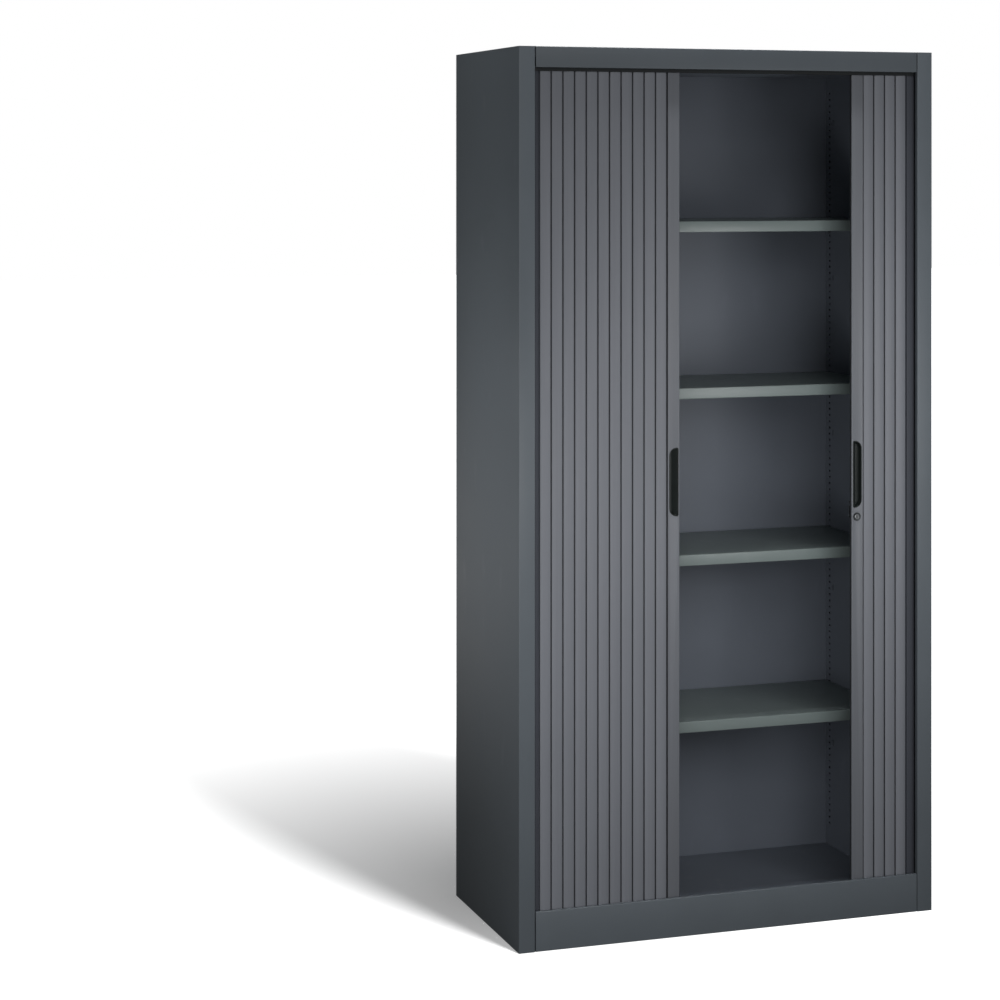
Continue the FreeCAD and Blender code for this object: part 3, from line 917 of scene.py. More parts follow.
class Case(Assembly):
    """Side panels with their posts, rail, plinth and panels."""

    sizes = CaseSizes()

    def side_panel(self) -> bpy.types.Object:
        """Left side, folded from one sheet, its lip cut off above the ceiling.

        Returns:
            The sheet.
        """
        s = self.sizes
        path = [
            (-s.half_width + s.rear_flange, s.back),
            (-s.half_width, s.back),
            (-s.half_width, s.front),
            (-s.half_width + s.post_width, s.front),
            (-s.half_width + s.post_width, s.front + s.post_lip),
        ]
        panel = Bench.fold("left_side_sheet", Axis.Z, path, (0, s.height), s.sheet)
        lip = -s.half_width + s.post_width
        above = Bench.block(
            "above", (lip - s.sheet - s.overrun, s.front + s.sheet, s.ceiling - s.lip_top_gap),
            (lip + s.overrun, s.front + s.post_lip + s.overrun, s.height + s.overrun),
        )
        Bench.carve(panel, above)
        return panel

    def top_rail(self) -> bpy.types.Object:
        """Fascia across the top with its two returns.

        Returns:
            The sheet.
        """
        s = self.sizes
        path = [
            (s.front + s.rail_upper_return, s.height),
            (s.front, s.height),
            (s.front, s.ceiling),
            (s.front + s.rail_lower_return, s.ceiling),
        ]
        return Bench.fold("top_rail_sheet", Axis.X, path, (-s.frame_half, s.frame_half), s.sheet)

    def plinth(self) -> bpy.types.Object:
        """Front of the base with its two returns and the flanges that close its seams.

        Returns:
            The sheet.
        """
        s = self.sizes
        path = [
            (s.front + s.plinth_upper_return, s.plinth_height),
            (s.front, s.plinth_height),
            (s.front, 0),
            (s.front + s.plinth_lower_return, 0),
        ]
        pieces = [Bench.fold("plinth_sheet", Axis.X, path, (-s.frame_half, s.frame_half), s.sheet)]
        for end in (-s.frame_half, s.frame_half - s.sheet):
            low = (end, s.front + 0.5 * s.sheet, s.sheet)
            high = (end + s.sheet, s.front + s.plinth_lower_return, s.plinth_height - s.sheet)
            pieces.append(Bench.block("plinth_end_flange", low, high))
        return Bench.join(pieces, "plinth_sheet")

    def build(self) -> None:
        """Build the sheets that show and paint the panels that stay."""
        left = self.side_panel()
        right = Bench.copy(left, "right_side_sheet", MIRROR)
        sheets = {
            "left_side_panel": left, "right_side_panel": right, "top_rail": self.top_rail(),
            "plinth": self.plinth(),
        }
        for node, sheet in sheets.items():
            self.place(sheet, self.finishes.case, "case_paint", "root", [node])
        self.paint_nodes(self.finishes.case, "top_panel", "rear_base_rail", *both_sides("base_rail"))
        self.paint_nodes(
            self.finishes.inside, "bottom_panel", "ceiling_panel", "back_panel",
            *both_sides("inner_wall", "front_upright", "rear_upright"),
        )
        self.paint_nodes(
            self.finishes.track, "top_front_track", "bottom_front_track", "stored_gliders",
            *both_sides("top_pocket_track", "bottom_pocket_track", "gliders"),
        )
        self.paint_nodes(
            self.finishes.zinc, "shelf_clips", "levelling_feet", "foot_nuts", "lock_cam", "cam_screw",
            "lock_keeper",
        )


@dataclass
class ShelfSizes:
    """Sizes of a shelf, in metres."""

    half_width: float = 445 * MM
    front: float = -105 * MM
    back: float = 195 * MM
    lip: float = 25 * MM
    hem: float = 12 * MM
    sheet: float = 1 * MM
    first_top: float = 443 * MM
    step: float = 375 * MM
    count: int = 4
    cheek_inset: float = 1.2 * MM
    rim: float = 0.12 * MM


class Shelves(Assembly):
    """Four shelves with folded lips and a cheek at each end."""

    sizes = ShelfSizes()

    def one(self, number: int) -> bpy.types.Object:
        """One shelf.

        Args:
            number: counted from 0 at the bottom.

        Returns:
            The shelf.
        """
        s = self.sizes
        high = s.first_top + number * s.step
        low = high - s.lip
        path = [
            (s.back - s.hem, low), (s.back, low), (s.back, high), (s.front, high), (s.front, low),
            (s.front + s.hem, low),
        ]
        tray = Bench.fold(f"shelf_tray_{number + 1}", Axis.X, path, (-s.half_width, s.half_width), s.sheet)
        cheeks = []
        for side in (-1, 1):
            outer = side * s.half_width
            inner = outer - side * s.sheet
            cheek = Bench.block(
                "cheek", (min(outer, inner), s.front + s.cheek_inset, low),
                (max(outer, inner), s.back - s.cheek_inset, high - s.sheet / 2),
            )
            Bench.soften(cheek, s.rim)
            cheeks.append(cheek)
        return Bench.join([tray, *cheeks], tray.name)

    def build(self) -> None:
        """Build all the shelves."""
        for number in range(self.sizes.count):
            node = f"shelf_{number + 1}"
            self.place(self.one(number), self.finishes.shelf, "shelf_paint", "root", [node])


@dataclass
class ShutterSizes:
    """Sizes of the shutters, in metres."""

    pitch: float = 27.2 * MM
    count: int = 17
    hinge_line: float = -191.2 * MM
    rise: float = 6.8 * MM
    crown: float = 2.4 * MM
    wall: float = 1.2 * MM
    gap: float = 3 * MM
    edge_depth: float = 1.4 * MM
    edge_rounding: float = 0.7 * MM
    crown_steps: int = 14
    groove_shade_inset: float = 0.1 * MM
    bead: float = 1.2 * MM
    bead_sides: int = 14
    socket_inner: float = 1.5 * MM
    socket_wall: float = 0.7 * MM
    socket_start: float = 80
    socket_sweep: float = 255
    socket_steps: int = 16
    web: float = 0.7 * MM
    web_overlap: float = 0.5 * MM
    web_end: float = 1.4 * MM
    neck: float = 1.0 * MM
    neck_length: float = 4.0 * MM
    bottom: float = 52 * MM
    top: float = 1902 * MM
    end_inset: float = 0.15 * MM
    stile_width: float = 29.6 * MM
    corner_start: float = 449 * MM
    corner_radius: float = 32 * MM
    pocket_line: float = 481 * MM
    feed_recess: float = 2.1 * MM
    feed_margin: float = 2.8 * MM

    @property
    def half_crown(self) -> float:
        """Half the width of a slat's crown."""
        return self.pitch / 2 - self.gap / 2

    @property
    def crown_radius(self) -> float:
        """Radius of a slat's crown."""
        return (self.half_crown ** 2 + self.crown ** 2) / (2 * self.crown)

    @property
    def groove_line(self) -> float:
        """Place in depth where the grooves between the slats start, and behind which the slat colour is
        painted darker as shade.
        """
        return self.hinge_line - self.rise + self.crown + self.groove_shade_inset


class SlatShape:
    """Models one slat, which runs from its own hinge at the origin to the next one at -pitch in X."""

    sizes = ShutterSizes()

    def swept_edge(
        self, name: str, start: Vector, centre: Vector, angle: float, steps: int, low: float, high: float
    ) -> bpy.types.Object:
        """Sheet that an upright edge leaves when it is swept round a centre.

        Args:
            name: name of the piece.
            start: foot of the edge.
            centre: centre of the sweep.
            angle: how far it is swept.
            steps: number of its strips.
            low: lower end of the edge.
            high: upper end of the edge.

        Returns:
            The sheet.
        """
        size = high - low
        Bench.clear()
        bpy.ops.mesh.primitive_plane_add(
            size=size, location=(start.x + size / 2, start.y, (low + high) / 2),
            rotation=(math.pi / 2, 0, 0),
        )
        sheet = Bench.settle(bpy.context.object, name)
        Bench.edit(sheet)
        Bench.select(sheet, Part.VERTEX, lambda vertex: vertex.co.x > start.x + size / 2)
        bpy.ops.mesh.delete(type="VERT")
        bpy.ops.mesh.select_mode(type="EDGE")
        bpy.ops.mesh.select_all(action="SELECT")
        bpy.ops.mesh.spin(steps=steps, angle=angle, center=centre, axis=(0, 0, 1))
        bpy.ops.mesh.select_all(action="SELECT")
        bpy.ops.mesh.remove_doubles(threshold=TOUCHING)
        Bench.done()
        return sheet

    def shell(self) -> bpy.types.Object:
        """Crowned front with its two rounded edges.

        Returns:
            The shell.
        """
        s = self.sizes
        arc = 2 * math.asin(s.half_crown / s.crown_radius)
        start = Vector((-s.gap / 2, -(s.rise - s.crown), 0))
        centre = Vector((-s.pitch / 2, s.crown_radius - s.rise, 0))
        shell = self.swept_edge("slat_shell", start, centre, arc, s.crown_steps, s.bottom, s.top)
        ends = (start.x, s.gap / 2 - s.pitch)
        Bench.edit(shell)
        for x in ends:
            Bench.select(
                shell, Part.EDGE, lambda edge: all(abs(vertex.co.x - x) < CLOSE for vertex in edge.verts)
            )
            Bench.push((0, s.edge_depth, 0))
        Bench.select(
            shell, Part.EDGE,
            lambda edge: all(
                min(abs(vertex.co.x - x) for x in ends) < CLOSE and abs(vertex.co.y - start.y) < CLOSE
                for vertex in edge.verts
            ),
        )
        bpy.ops.mesh.bevel(offset=s.edge_rounding, segments=3, affect="EDGES")
        Bench.turn_out()
        front = max(shell.data.polygons, key=lambda face: -face.center.y)
        side = -1 if front.normal.y < 0 else 1
        Bench.apply(shell, "SOLIDIFY", thickness=s.wall, offset=side, use_even_offset=True)
        return shell

    def back(self) -> list[bpy.types.Object]:
        """Webs, socket, neck and bead behind the crown, a hair shorter than it.

        Returns:
            The pieces.
        """
        s = self.sizes
        low, high = s.bottom + s.end_inset, s.top - s.end_inset
        edge = -(s.rise - s.crown) + s.web_overlap
        near = Bench.block("near_web", (-s.gap / 2 - s.web, edge, low), (-s.gap / 2, -s.web_end, high))
        far_x = -(s.pitch - s.neck_length)
        far = Bench.block("far_web", (far_x - s.web, edge, low), (far_x, s.neck / 2, high))
        neck = Bench.block("neck", (-s.pitch, -s.neck / 2, low), (far_x, s.neck / 2, high))
        start = Matrix.Rotation(math.radians(s.socket_start), 3, "Z") @ Vector(
            (s.socket_inner + s.socket_wall, 0, 0)
        )
        sweep = -math.radians(s.socket_sweep)
        socket = self.swept_edge("socket", start, Vector((0, 0, 0)), sweep, s.socket_steps, low, high)
        Bench.apply(socket, "SOLIDIFY", thickness=s.socket_wall, offset=-1, use_even_offset=True)
        bead = Bench.round_bar("bead", s.bead, (-s.pitch, 0, low), (-s.pitch, 0, high), s.bead_sides)
        return [near, far, neck, socket, bead]

    def make(self) -> bpy.types.Object:
        """The whole slat.

        Returns:
            The slat.
        """
        slat = Bench.join([self.shell(), *self.back()], "slat")
        Bench.edit(slat)
        Bench.turn_out()
        Bench.smooth(slat)
        return slat


class TrackPath:
    """Line of the hinges of a left-hand curtain, round the corner and into the pocket."""

    sizes = ShutterSizes()
    halvings = 50

    def point(self, distance: float) -> Vector:
        """Point of the line.

        Args:
            distance: how far along the line, from the middle of the front.

        Returns:
            The point.
        """
        s = self.sizes
        length = math.pi / 2 * s.corner_radius
        centre = Vector((-s.corner_start, s.hinge_line + s.corner_radius, 0))
        past = distance - s.corner_start
        if past <= 0:
            return Vector((-distance, s.hinge_line, 0))
        if past <= length:
            angle = past / s.corner_radius
            return centre - s.corner_radius * Vector((math.sin(angle), math.cos(angle), 0))
        return Vector((-s.pocket_line, centre.y + past - length, 0))

    def following(self, distance: float) -> float:
        """Distance of the next hinge, one slat away in a straight line.

        Args:
            distance: of this hinge.

        Returns:
            The distance.
        """
        here = self.point(distance)
        low, high = distance, distance + 2 * self.sizes.pitch
        for _ in range(self.halvings):
            middle = (low + high) / 2
            if (self.point(middle) - here).length < self.sizes.pitch:
                low = middle
            else:
                high = middle
        return low

    def hinges(self, edge_out: float) -> list[Vector]:
        """Hinges of a curtain.

        Args:
            edge_out: how far its leading edge stands from the middle of the front.

        Returns:
            The hinges, from the stile on.
        """
        distance = edge_out + self.sizes.stile_width
        points = [self.point(distance)]
        for _ in range(self.sizes.count):
            distance = self.following(distance)
            points.append(self.point(distance))
        return points


@dataclass(frozen=True)
class Side:
    """What differs between the two shutters."""

    name: str
    edge_out: float
    front_slats: int
    travel: float
    turn: Matrix

    @property
    def body(self) -> str:
        """The body that the shutter moves as."""
        return f"{self.name}_shutter"


LEFT = Side("left", 119 * MM, 11, 118.5 * MM, Matrix.Identity(4))
RIGHT = Side("right", 303 * MM, 4, 302.5 * MM, MIRROR)


class Curtain(Assembly):
    """Slats of one shutter."""

    sizes = ShutterSizes()
    halvings = 30

    def __init__(self, finishes: Finishes, side: Side, slat: bpy.types.Object) -> None:
        """Keep what the curtain is made of.

        Args:
            finishes: all finishes of the cabinet.
            side: the shutter.
            slat: the modelled slat.
        """
        super().__init__(finishes)
        self.side = side
        self.slat = slat

    def on_chord(self, name: str, here: Vector, there: Vector) -> bpy.types.Object:
        """Copy of the slat from one hinge to the next, on the shutter's own side.

        Args:
            name: name of the copy.
            here: its own hinge.
            there: the next one.

        Returns:
            The slat.
        """
        chord = there - here
        angle = math.atan2(-chord.y, -chord.x)
        move = Matrix.Translation(here) @ Matrix.Rotation(angle, 4, "Z")
        return Bench.copy(self.slat, name, self.side.turn @ move)

    def build(self) -> None:
        """Copy the slat along the path."""
        hinges = TrackPath().hinges(self.side.edge_out)
        name = self.side.name
        stored = []
        for number, (here, there) in enumerate(zip(hinges, hinges[1:])):
            if number < self.side.front_slats:
                slat = self.on_chord(f"{name}_crowned_slat_{number + 1:02d}", here, there)
                node = f"{name}_slat_{number + 1:02d}"
                self.place(slat, self.finishes.slat, "slat_plastic", self.side.body, [node])
            else:
                stored.append(self.on_chord(f"{name}_pocket_slat_{number + 1:02d}", here, there))
        pack = Bench.join(stored, f"{name}_pocket_slats")
        # the pocket slats get the darker copy of the slat plastic, painted shade
        self.place(pack, self.finishes.pocket_slat, "slat_plastic", "root", [f"{name}_stored_slats"])
        self.feed()

    def feed(self) -> None:
        """Slats that the corner lets out as the shutter closes, drawn in behind the last front slat."""
        s, side = self.sizes, self.side
        last = side.edge_out + s.stile_width + side.front_slats * s.pitch
        outer = last - s.gap / 2
        inner = last - s.pitch + s.gap / 2
        slats = []
        hinge = Vector((side.travel - last, s.hinge_line + s.feed_recess, 0))
        while -hinge.x < outer - s.feed_margin:
            following = hinge - Vector((s.pitch, 0, 0))
            slats.append(self.on_chord("fed_slat", hinge, following))
            hinge = following
        chain = Bench.join(slats, f"{side.name}_curtain_feed")
        outward = side.turn @ Vector((-1, 0, 0))
        Bench.edit(chain)
        bpy.ops.mesh.select_all(action="SELECT")
        cut = outward * (outer - s.feed_margin)
        bpy.ops.mesh.bisect(plane_co=cut, plane_no=outward, clear_outer=True)
        Bench.done()
        for vertex in chain.data.vertices:
            vertex.co.x = outward.x * self.drawn_in(vertex.co.x * outward.x, inner, outer)
        chain.data.materials.clear()
        chain.data.materials.append(self.finishes.feed_slat)
        Bench.smooth(chain)
        level = (0, s.hinge_line, 0)
        start, end = (outward * place + Vector(level) for place in (outer, inner))
        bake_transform(chain)
        LOG.info("%s: %d faces from root to %s", chain.name, len(chain.data.polygons), side.body)

    def drawn_in(self, place: float, inner: float, outer: float) -> float:
        """Where a point of the closed curtain lies while the shutter is open.

        Args:
            place: its distance outwards while the shutter is closed.
            inner: where the points move with the shutter.
            outer: where the points stay.

        Returns:
            Its distance outwards while the shutter is open.
        """
        travel = self.side.travel
        if place <= inner - travel:
            return place + travel
        low, high = inner, outer
        for _ in range(self.halvings):
            middle = (low + high) / 2
            share = (outer - middle) / (outer - inner)
            if middle - share * share * (3 - 2 * share) * travel < place:
                low = middle
            else:
                high = middle
        return low


@dataclass
class StileSizes:
    """Sizes of a lead stile and its grip, in metres."""

    face: float = -198 * MM
    back: float = -189 * MM
    side_gap: float = 3 * MM
    wall: float = 1.6 * MM
    edge_radius: float = 2 * MM
    rim: float = 0.18 * MM
    groove_shade_depth: float = 1.4 * MM
    overrun: float = 2 * MM
    grip_height: float = 148 * MM
    grip_width: float = 19 * MM
    grip_inset: float = 4.5 * MM
    grip_middle: float = 997 * MM
    grip_depth: float = 14 * MM
    grip_wall: float = 1.2 * MM
    grip_play: float = 0.1 * MM
    flange: float = 1.5 * MM
    flange_rise: float = 0.6 * MM
    chamfer: float = 0.3 * MM
    outer_step: float = 0.12 * MM
    inner_step: float = 0.25 * MM
    outer_corner: float = 2.5 * MM
    inner_corner: float = 16 * MM
    corner_steps: int = 12
    scoop: tuple[tuple[float, float, float], ...] = (
        (0.7 * MM, 1.0, 1.0), (1.6 * MM, 0.93, 0.99), (2.4 * MM, 0.89, 0.985), (2.8 * MM, 0.85, 0.98),
        (2.8 * MM, 0.82, 0.98), (2.2 * MM, 0.8, 0.975),
    )

    @property
    def groove_line(self) -> float:
        """Place in depth where the groove beside the stile starts, and behind which the stile colour is
        painted darker as shade.
        """
        return self.face + self.groove_shade_depth


@dataclass
class LockSizes:
    """Sizes of the lock, in metres."""

    inset: float = 13.1 * MM
    height: float = 901 * MM
    sides: int = 64
    hole_radius: float = 7.8 * MM
    hole_sides: int = 48
    rosette_radius: float = 9.5 * MM
    rosette_rise: float = 0.5 * MM
    rosette_width: float = 0.7 * MM
    bezel_radius: float = 8.6 * MM
    bezel_rise: float = 1.2 * MM
    bezel_overlap: float = 1 * MM
    bezel_slope: float = 1.3 * MM
    bezel_dip: float = 0.35 * MM
    bezel_land: float = 1.1 * MM
    bezel_rounding: float = 0.3 * MM
    barrel_length: float = 24 * MM
    bore_radius: float = 5.56 * MM
    overrun: float = 4 * MM
    plug_radius: float = 5.5 * MM
    plug_length: float = 24.3 * MM
    slot_width: float = 2.4 * MM
    slot_height: float = 7.6 * MM
    slot_depth: float = 14 * MM
    rounding: float = 0.2 * MM


class LeadStile(Assembly):
    """Stile at the leading edge of a shutter, with its grip."""

    sizes = StileSizes()
    shutter = ShutterSizes()
    lock = LockSizes()

    def __init__(self, finishes: Finishes, side: Side) -> None:
        """Keep what the stile is made of.

        Args:
            finishes: all finishes of the cabinet.
            side: the shutter.
        """
        super().__init__(finishes)
        self.side = side

    def d_block(self, name: str, grow: float, front: float, back: float) -> bpy.types.Object:
        """Block with the grip's D outline, its straight side next to the leading edge.

        Args:
            name: name of the piece.
            grow: how far it stands outside the outline.
            front: its front face.
            back: its rear face.

        Returns:
            The block, on the left shutter.
        """
        s = self.sizes
        near = -(self.side.edge_out + s.grip_inset) + grow
        far = -(self.side.edge_out + s.grip_inset + s.grip_width) - grow
        low = s.grip_middle - s.grip_height / 2 - grow
        high = s.grip_middle + s.grip_height / 2 + grow
        piece = Bench.block(name, (far, front, low), (near, back, high))
        Bench.edit(piece)
        for x, radius in ((near, s.outer_corner), (far, s.inner_corner)):
            Bench.select(
                piece, Part.EDGE,
                lambda edge: runs_along(edge, 1) and abs(middle_of(edge).x - x) < CLOSE,
            )
            bpy.ops.mesh.bevel(offset=radius + grow, segments=s.corner_steps, affect="EDGES")
        Bench.done()
        return piece

    def stile(self) -> bpy.types.Object:
        """Stile with a rounded leading edge and a lip over the first hinge.

        Returns:
            The stile, on the left shutter.
        """
        s, t = self.sizes, self.shutter
        near = -self.side.edge_out
        body_far = near - t.stile_width + s.side_gap
        face_far = near - t.stile_width + t.gap / 2
        stile = Bench.block("stile", (body_far, s.face, t.bottom), (near, s.back, t.top))
        Bench.edit(stile)
        Bench.select(stile, Part.FACE, lambda face: face.normal.x < -0.9)
        bpy.ops.mesh.bisect(plane_co=(0, s.face + s.wall, 0), plane_no=(0, 1, 0))
        Bench.select(
            stile, Part.FACE, lambda face: face.normal.x < -0.9 and middle_of(face).y < s.face + s.wall
        )
        Bench.push((face_far - body_far, 0, 0))
        corner = Vector((near, s.face, 0))
        Bench.select(
            stile, Part.EDGE,
            lambda edge: runs_along(edge, 2) and (middle_of(edge) - corner).xy.length < CLOSE,
        )
        bpy.ops.mesh.bevel(offset=s.edge_radius, segments=6, affect="EDGES")
        Bench.done()
        return stile

    def hinge_bead(self) -> list[bpy.types.Object]:
        """Neck and bead that the first slat hangs on.

        Returns:
            The two pieces.
        """
        t = self.shutter
        low, high = t.bottom + t.end_inset, t.top - t.end_inset
        x, y = -(self.side.edge_out + t.stile_width), t.hinge_line
        neck = Bench.block("neck", (x, y - t.neck / 2, low), (x + t.neck_length, y + t.neck / 2, high))
        bead = Bench.round_bar("bead", t.bead, (x, y, low), (x, y, high), t.bead_sides)
        return [neck, bead]

    def grip(self) -> bpy.types.Object:
        """Recessed pull: thin rounded rim and a scoop that falls away from the leading edge.

        Returns:
            The grip, on the left shutter.
        """
        s = self.sizes
        depth = s.face - s.flange_rise
        grip = self.d_block(f"{self.side.name}_scooped_grip", s.flange, depth, s.face)
        Bench.edit(grip)
        Bench.select(grip, Part.FACE, lambda face: face.normal.y > 0.9)
        bpy.ops.mesh.inset(thickness=s.flange - s.grip_wall, depth=0)
        Bench.push((0, s.grip_depth, 0))
        Bench.select(grip, Part.FACE, lambda face: face.normal.y < -0.9)
        bpy.ops.mesh.inset(thickness=s.chamfer, depth=0)
        bpy.ops.transform.translate(value=(0, -s.outer_step, 0))
        bpy.ops.mesh.inset(thickness=s.flange - 2 * s.chamfer, depth=0)
        bpy.ops.mesh.inset(thickness=s.chamfer, depth=0)
        bpy.ops.transform.translate(value=(0, s.inner_step, 0))
        far = -(self.side.edge_out + s.grip_inset + s.grip_width)
        for deeper, width, height in s.scoop:
            depth += deeper
            Bench.push((0, deeper, 0))
            bpy.ops.transform.resize(value=(width, 1, height), center_override=(far, depth, s.grip_middle))
        Bench.done()
        return grip

    def build(self) -> None:
        """Build the stile and its grip."""
        s, lock = self.sizes, self.lock
        name = self.side.name
        front, back = s.face - s.overrun, s.back + s.overrun
        stile = self.stile()
        Bench.carve(stile, self.d_block("mouth", s.grip_wall + s.grip_play, front, back))
        if self.side is RIGHT:
            x = -(self.side.edge_out + lock.inset)
            hole = Bench.round_bar(
                "hole", lock.hole_radius, (x, front, lock.height), (x, back, lock.height), lock.hole_sides
            )
            Bench.carve(stile, hole)
        Bench.soften(stile, s.rim, 2, 50)
        whole = Bench.join([stile, *self.hinge_bead()], f"{name}_rounded_stile")
        grip = self.grip()
        if self.side is RIGHT:
            for piece in (whole, grip):
                piece.data.transform(MIRROR)
                piece.data.flip_normals()
        self.place(whole, self.finishes.stile, "stile_plastic", self.side.body, [f"{name}_lead_stile"])
        self.place(grip, self.finishes.grip, "grip_plastic", self.side.body, [f"{name}_handle"], 30)


class Lock(Assembly):
    """Barrel with its bezel and rosette, and the plug with its key slot."""

    sizes = LockSizes()

    def bar(self, name: str, radius: float, front: float, back: float) -> bpy.types.Object:
        """Round bar on the lock's axis.

        Args:
            name: name of the piece.
            radius: its radius.
            front: how far it stands out of the stile's face.
            back: how far it reaches behind that face.

        Returns:
            The bar.
        """
        x, z, face = RIGHT.edge_out + self.sizes.inset, self.sizes.height, StileSizes().face
        return Bench.round_bar(name, radius, (x, face - front, z), (x, face + back, z), self.sizes.sides)

    def rosette(self) -> bpy.types.Object:
        """Thin ring round the bezel.

        Returns:
            The ring.
        """
        s = self.sizes
        ring = self.bar("lock_rosette", s.rosette_radius, s.rosette_rise, 0)
        Bench.edit(ring)
        Bench.select(ring, Part.FACE, lambda face: abs(face.normal.y) > 0.9)
        bpy.ops.mesh.inset(thickness=s.rosette_width, depth=0)
        bpy.ops.mesh.bridge_edge_loops()
        Bench.done()
        return ring

    def barrel(self) -> bpy.types.Object:
        """Bezel with its dished face, and the barrel behind it.

        Returns:
            The barrel.
        """
        s = self.sizes
        barrel = self.bar("lock_bezel", s.bezel_radius, s.bezel_rise, 0)
        Bench.edit(barrel)
        Bench.select(barrel, Part.FACE, lambda face: face.normal.y > 0.9)
        bpy.ops.mesh.inset(thickness=s.bezel_overlap, depth=0)
        Bench.push((0, s.barrel_length, 0))
        Bench.select(barrel, Part.FACE, lambda face: face.normal.y < -0.9)
        bpy.ops.mesh.inset(thickness=s.bezel_slope, depth=0)
        bpy.ops.transform.translate(value=(0, s.bezel_dip, 0))
        bpy.ops.mesh.inset(thickness=s.bezel_land, depth=0)
        Bench.done()
        bore = self.bar("bore", s.bore_radius, s.overrun, s.barrel_length + s.bezel_rise + s.overrun)
        Bench.carve(barrel, bore)
        Bench.soften(barrel, s.bezel_rounding, 3)
        return barrel

    def plug(self) -> bpy.types.Object:
        """Plug with its key slot.

        Returns:
            The plug.
        """
        s = self.sizes
        plug = self.bar("lock_plug_face", s.plug_radius, s.bezel_rise, s.plug_length)
        middle = Vector((RIGHT.edge_out + s.inset, StileSizes().face, s.height))
        half = Vector((s.slot_width / 2, 0, s.slot_height / 2))
        front, back = Vector((0, -s.overrun, 0)), Vector((0, s.slot_depth, 0))
        slot = Bench.block("slot", middle - half + front, middle + half + back)
        Bench.soften(slot, s.rounding)
        Bench.carve(plug, slot)
        Bench.soften(plug, s.rounding, 2, 50)
        return plug

    def build(self) -> None:
        """Build the rosette, the barrel and the plug."""
        self.place(self.rosette(), self.finishes.grip, "grip_plastic", "right_shutter", (), 30)
        self.place(
            self.barrel(), self.finishes.bezel, "lock_nickel", "right_shutter", ["lock_housing"], 30
        )
        self.place(self.plug(), self.finishes.nickel, "lock_nickel", "lock", ["lock_plug"], 30)


# Studio


def hang_lamp(data: bpy.types.Light, place: Vector, towards: Vector, lit: bpy.types.Collection) -> None:
    """Hang a lamp that the camera doesn't see.

    Args:
        data: the lamp.
        place: where it hangs.
        towards: which way it shines.
        lit: what it lights.
    """
    lamp = bpy.data.objects.new(data.name, data)
    bpy.context.scene.collection.objects.link(lamp)
    lamp.location = place
    lamp.rotation_euler = towards.to_track_quat("-Z", "Y").to_euler()
    lamp.visible_camera = False
    lamp.light_linking.receiver_collection = lit


@dataclass(frozen=True)
class Softbox:
    """A rectangular lamp near the object, its spread in degrees."""

    name: str
    place: Place
    target: Place
    size: Pair
    power: float
    spread: float = 180.0

    def hang(self, lit: bpy.types.Collection) -> None:
        """Hang the lamp.

        Args:
            lit: what the lamp lights.
        """
        data = bpy.data.lights.new(self.name, "AREA")
        data.shape = "RECTANGLE"
        data.size, data.size_y = self.size
        data.energy = self.power
        data.spread = math.radians(self.spread)
        hang_lamp(data, Vector(self.place), Vector(self.target) - Vector(self.place), lit)


@dataclass(frozen=True)
class Skylight:
    """Soft light from far away, its angles in degrees."""

    name: str
    azimuth: float
    height: float
    angle: float
    strength: float

    def hang(self, lit: bpy.types.Collection) -> None:
        """Hang the lamp.

        Args:
            lit: what the lamp lights.
        """
        data = bpy.data.lights.new(self.name, "SUN")
        data.energy = self.strength
        data.angle = math.radians(self.angle)
        azimuth, height = math.radians(self.azimuth), math.radians(self.height)
        level = Vector((math.sin(azimuth), -math.cos(azimuth), 0)) * math.cos(height)
        hang_lamp(data, Vector(), -level - Vector((0, 0, math.sin(height))), lit)


@dataclass(frozen=True)
class Glow:
    """How brightly the floor glows: it goes from low at one distance from the shadow's foot to high."""

    start: float
    end: float
    low: float
    high: float

    def over(self, away: Flow) -> Flow:
        """Brightness at a distance."""
        return away.between(self.start, self.end) * (self.high - self.low) + self.low


@dataclass(frozen=True)
class Viewpoint:
    """Level camera with its picture shifted down, at the photograph's angle."""

    place: Place = (-2.2267, -4.8668, 1.6848)
    yaw: float = -17.1
    lens: float = 83.153
    sensor: float = 36
    shift: Pair = (0.11195, -0.33077)
    reach: float = 100

    def set_up(self) -> None:
        """Set the scene's camera."""
        data = bpy.data.cameras.new("camera")
        data.sensor_width = self.sensor
        data.lens = self.lens
        data.shift_x, data.shift_y = self.shift
        data.clip_end = self.reach
        camera = bpy.data.objects.new("camera", data)
        bpy.context.scene.collection.objects.link(camera)
        camera.location = self.place
        camera.rotation_euler = (math.radians(90), 0, math.radians(self.yaw))
        bpy.context.scene.camera = camera


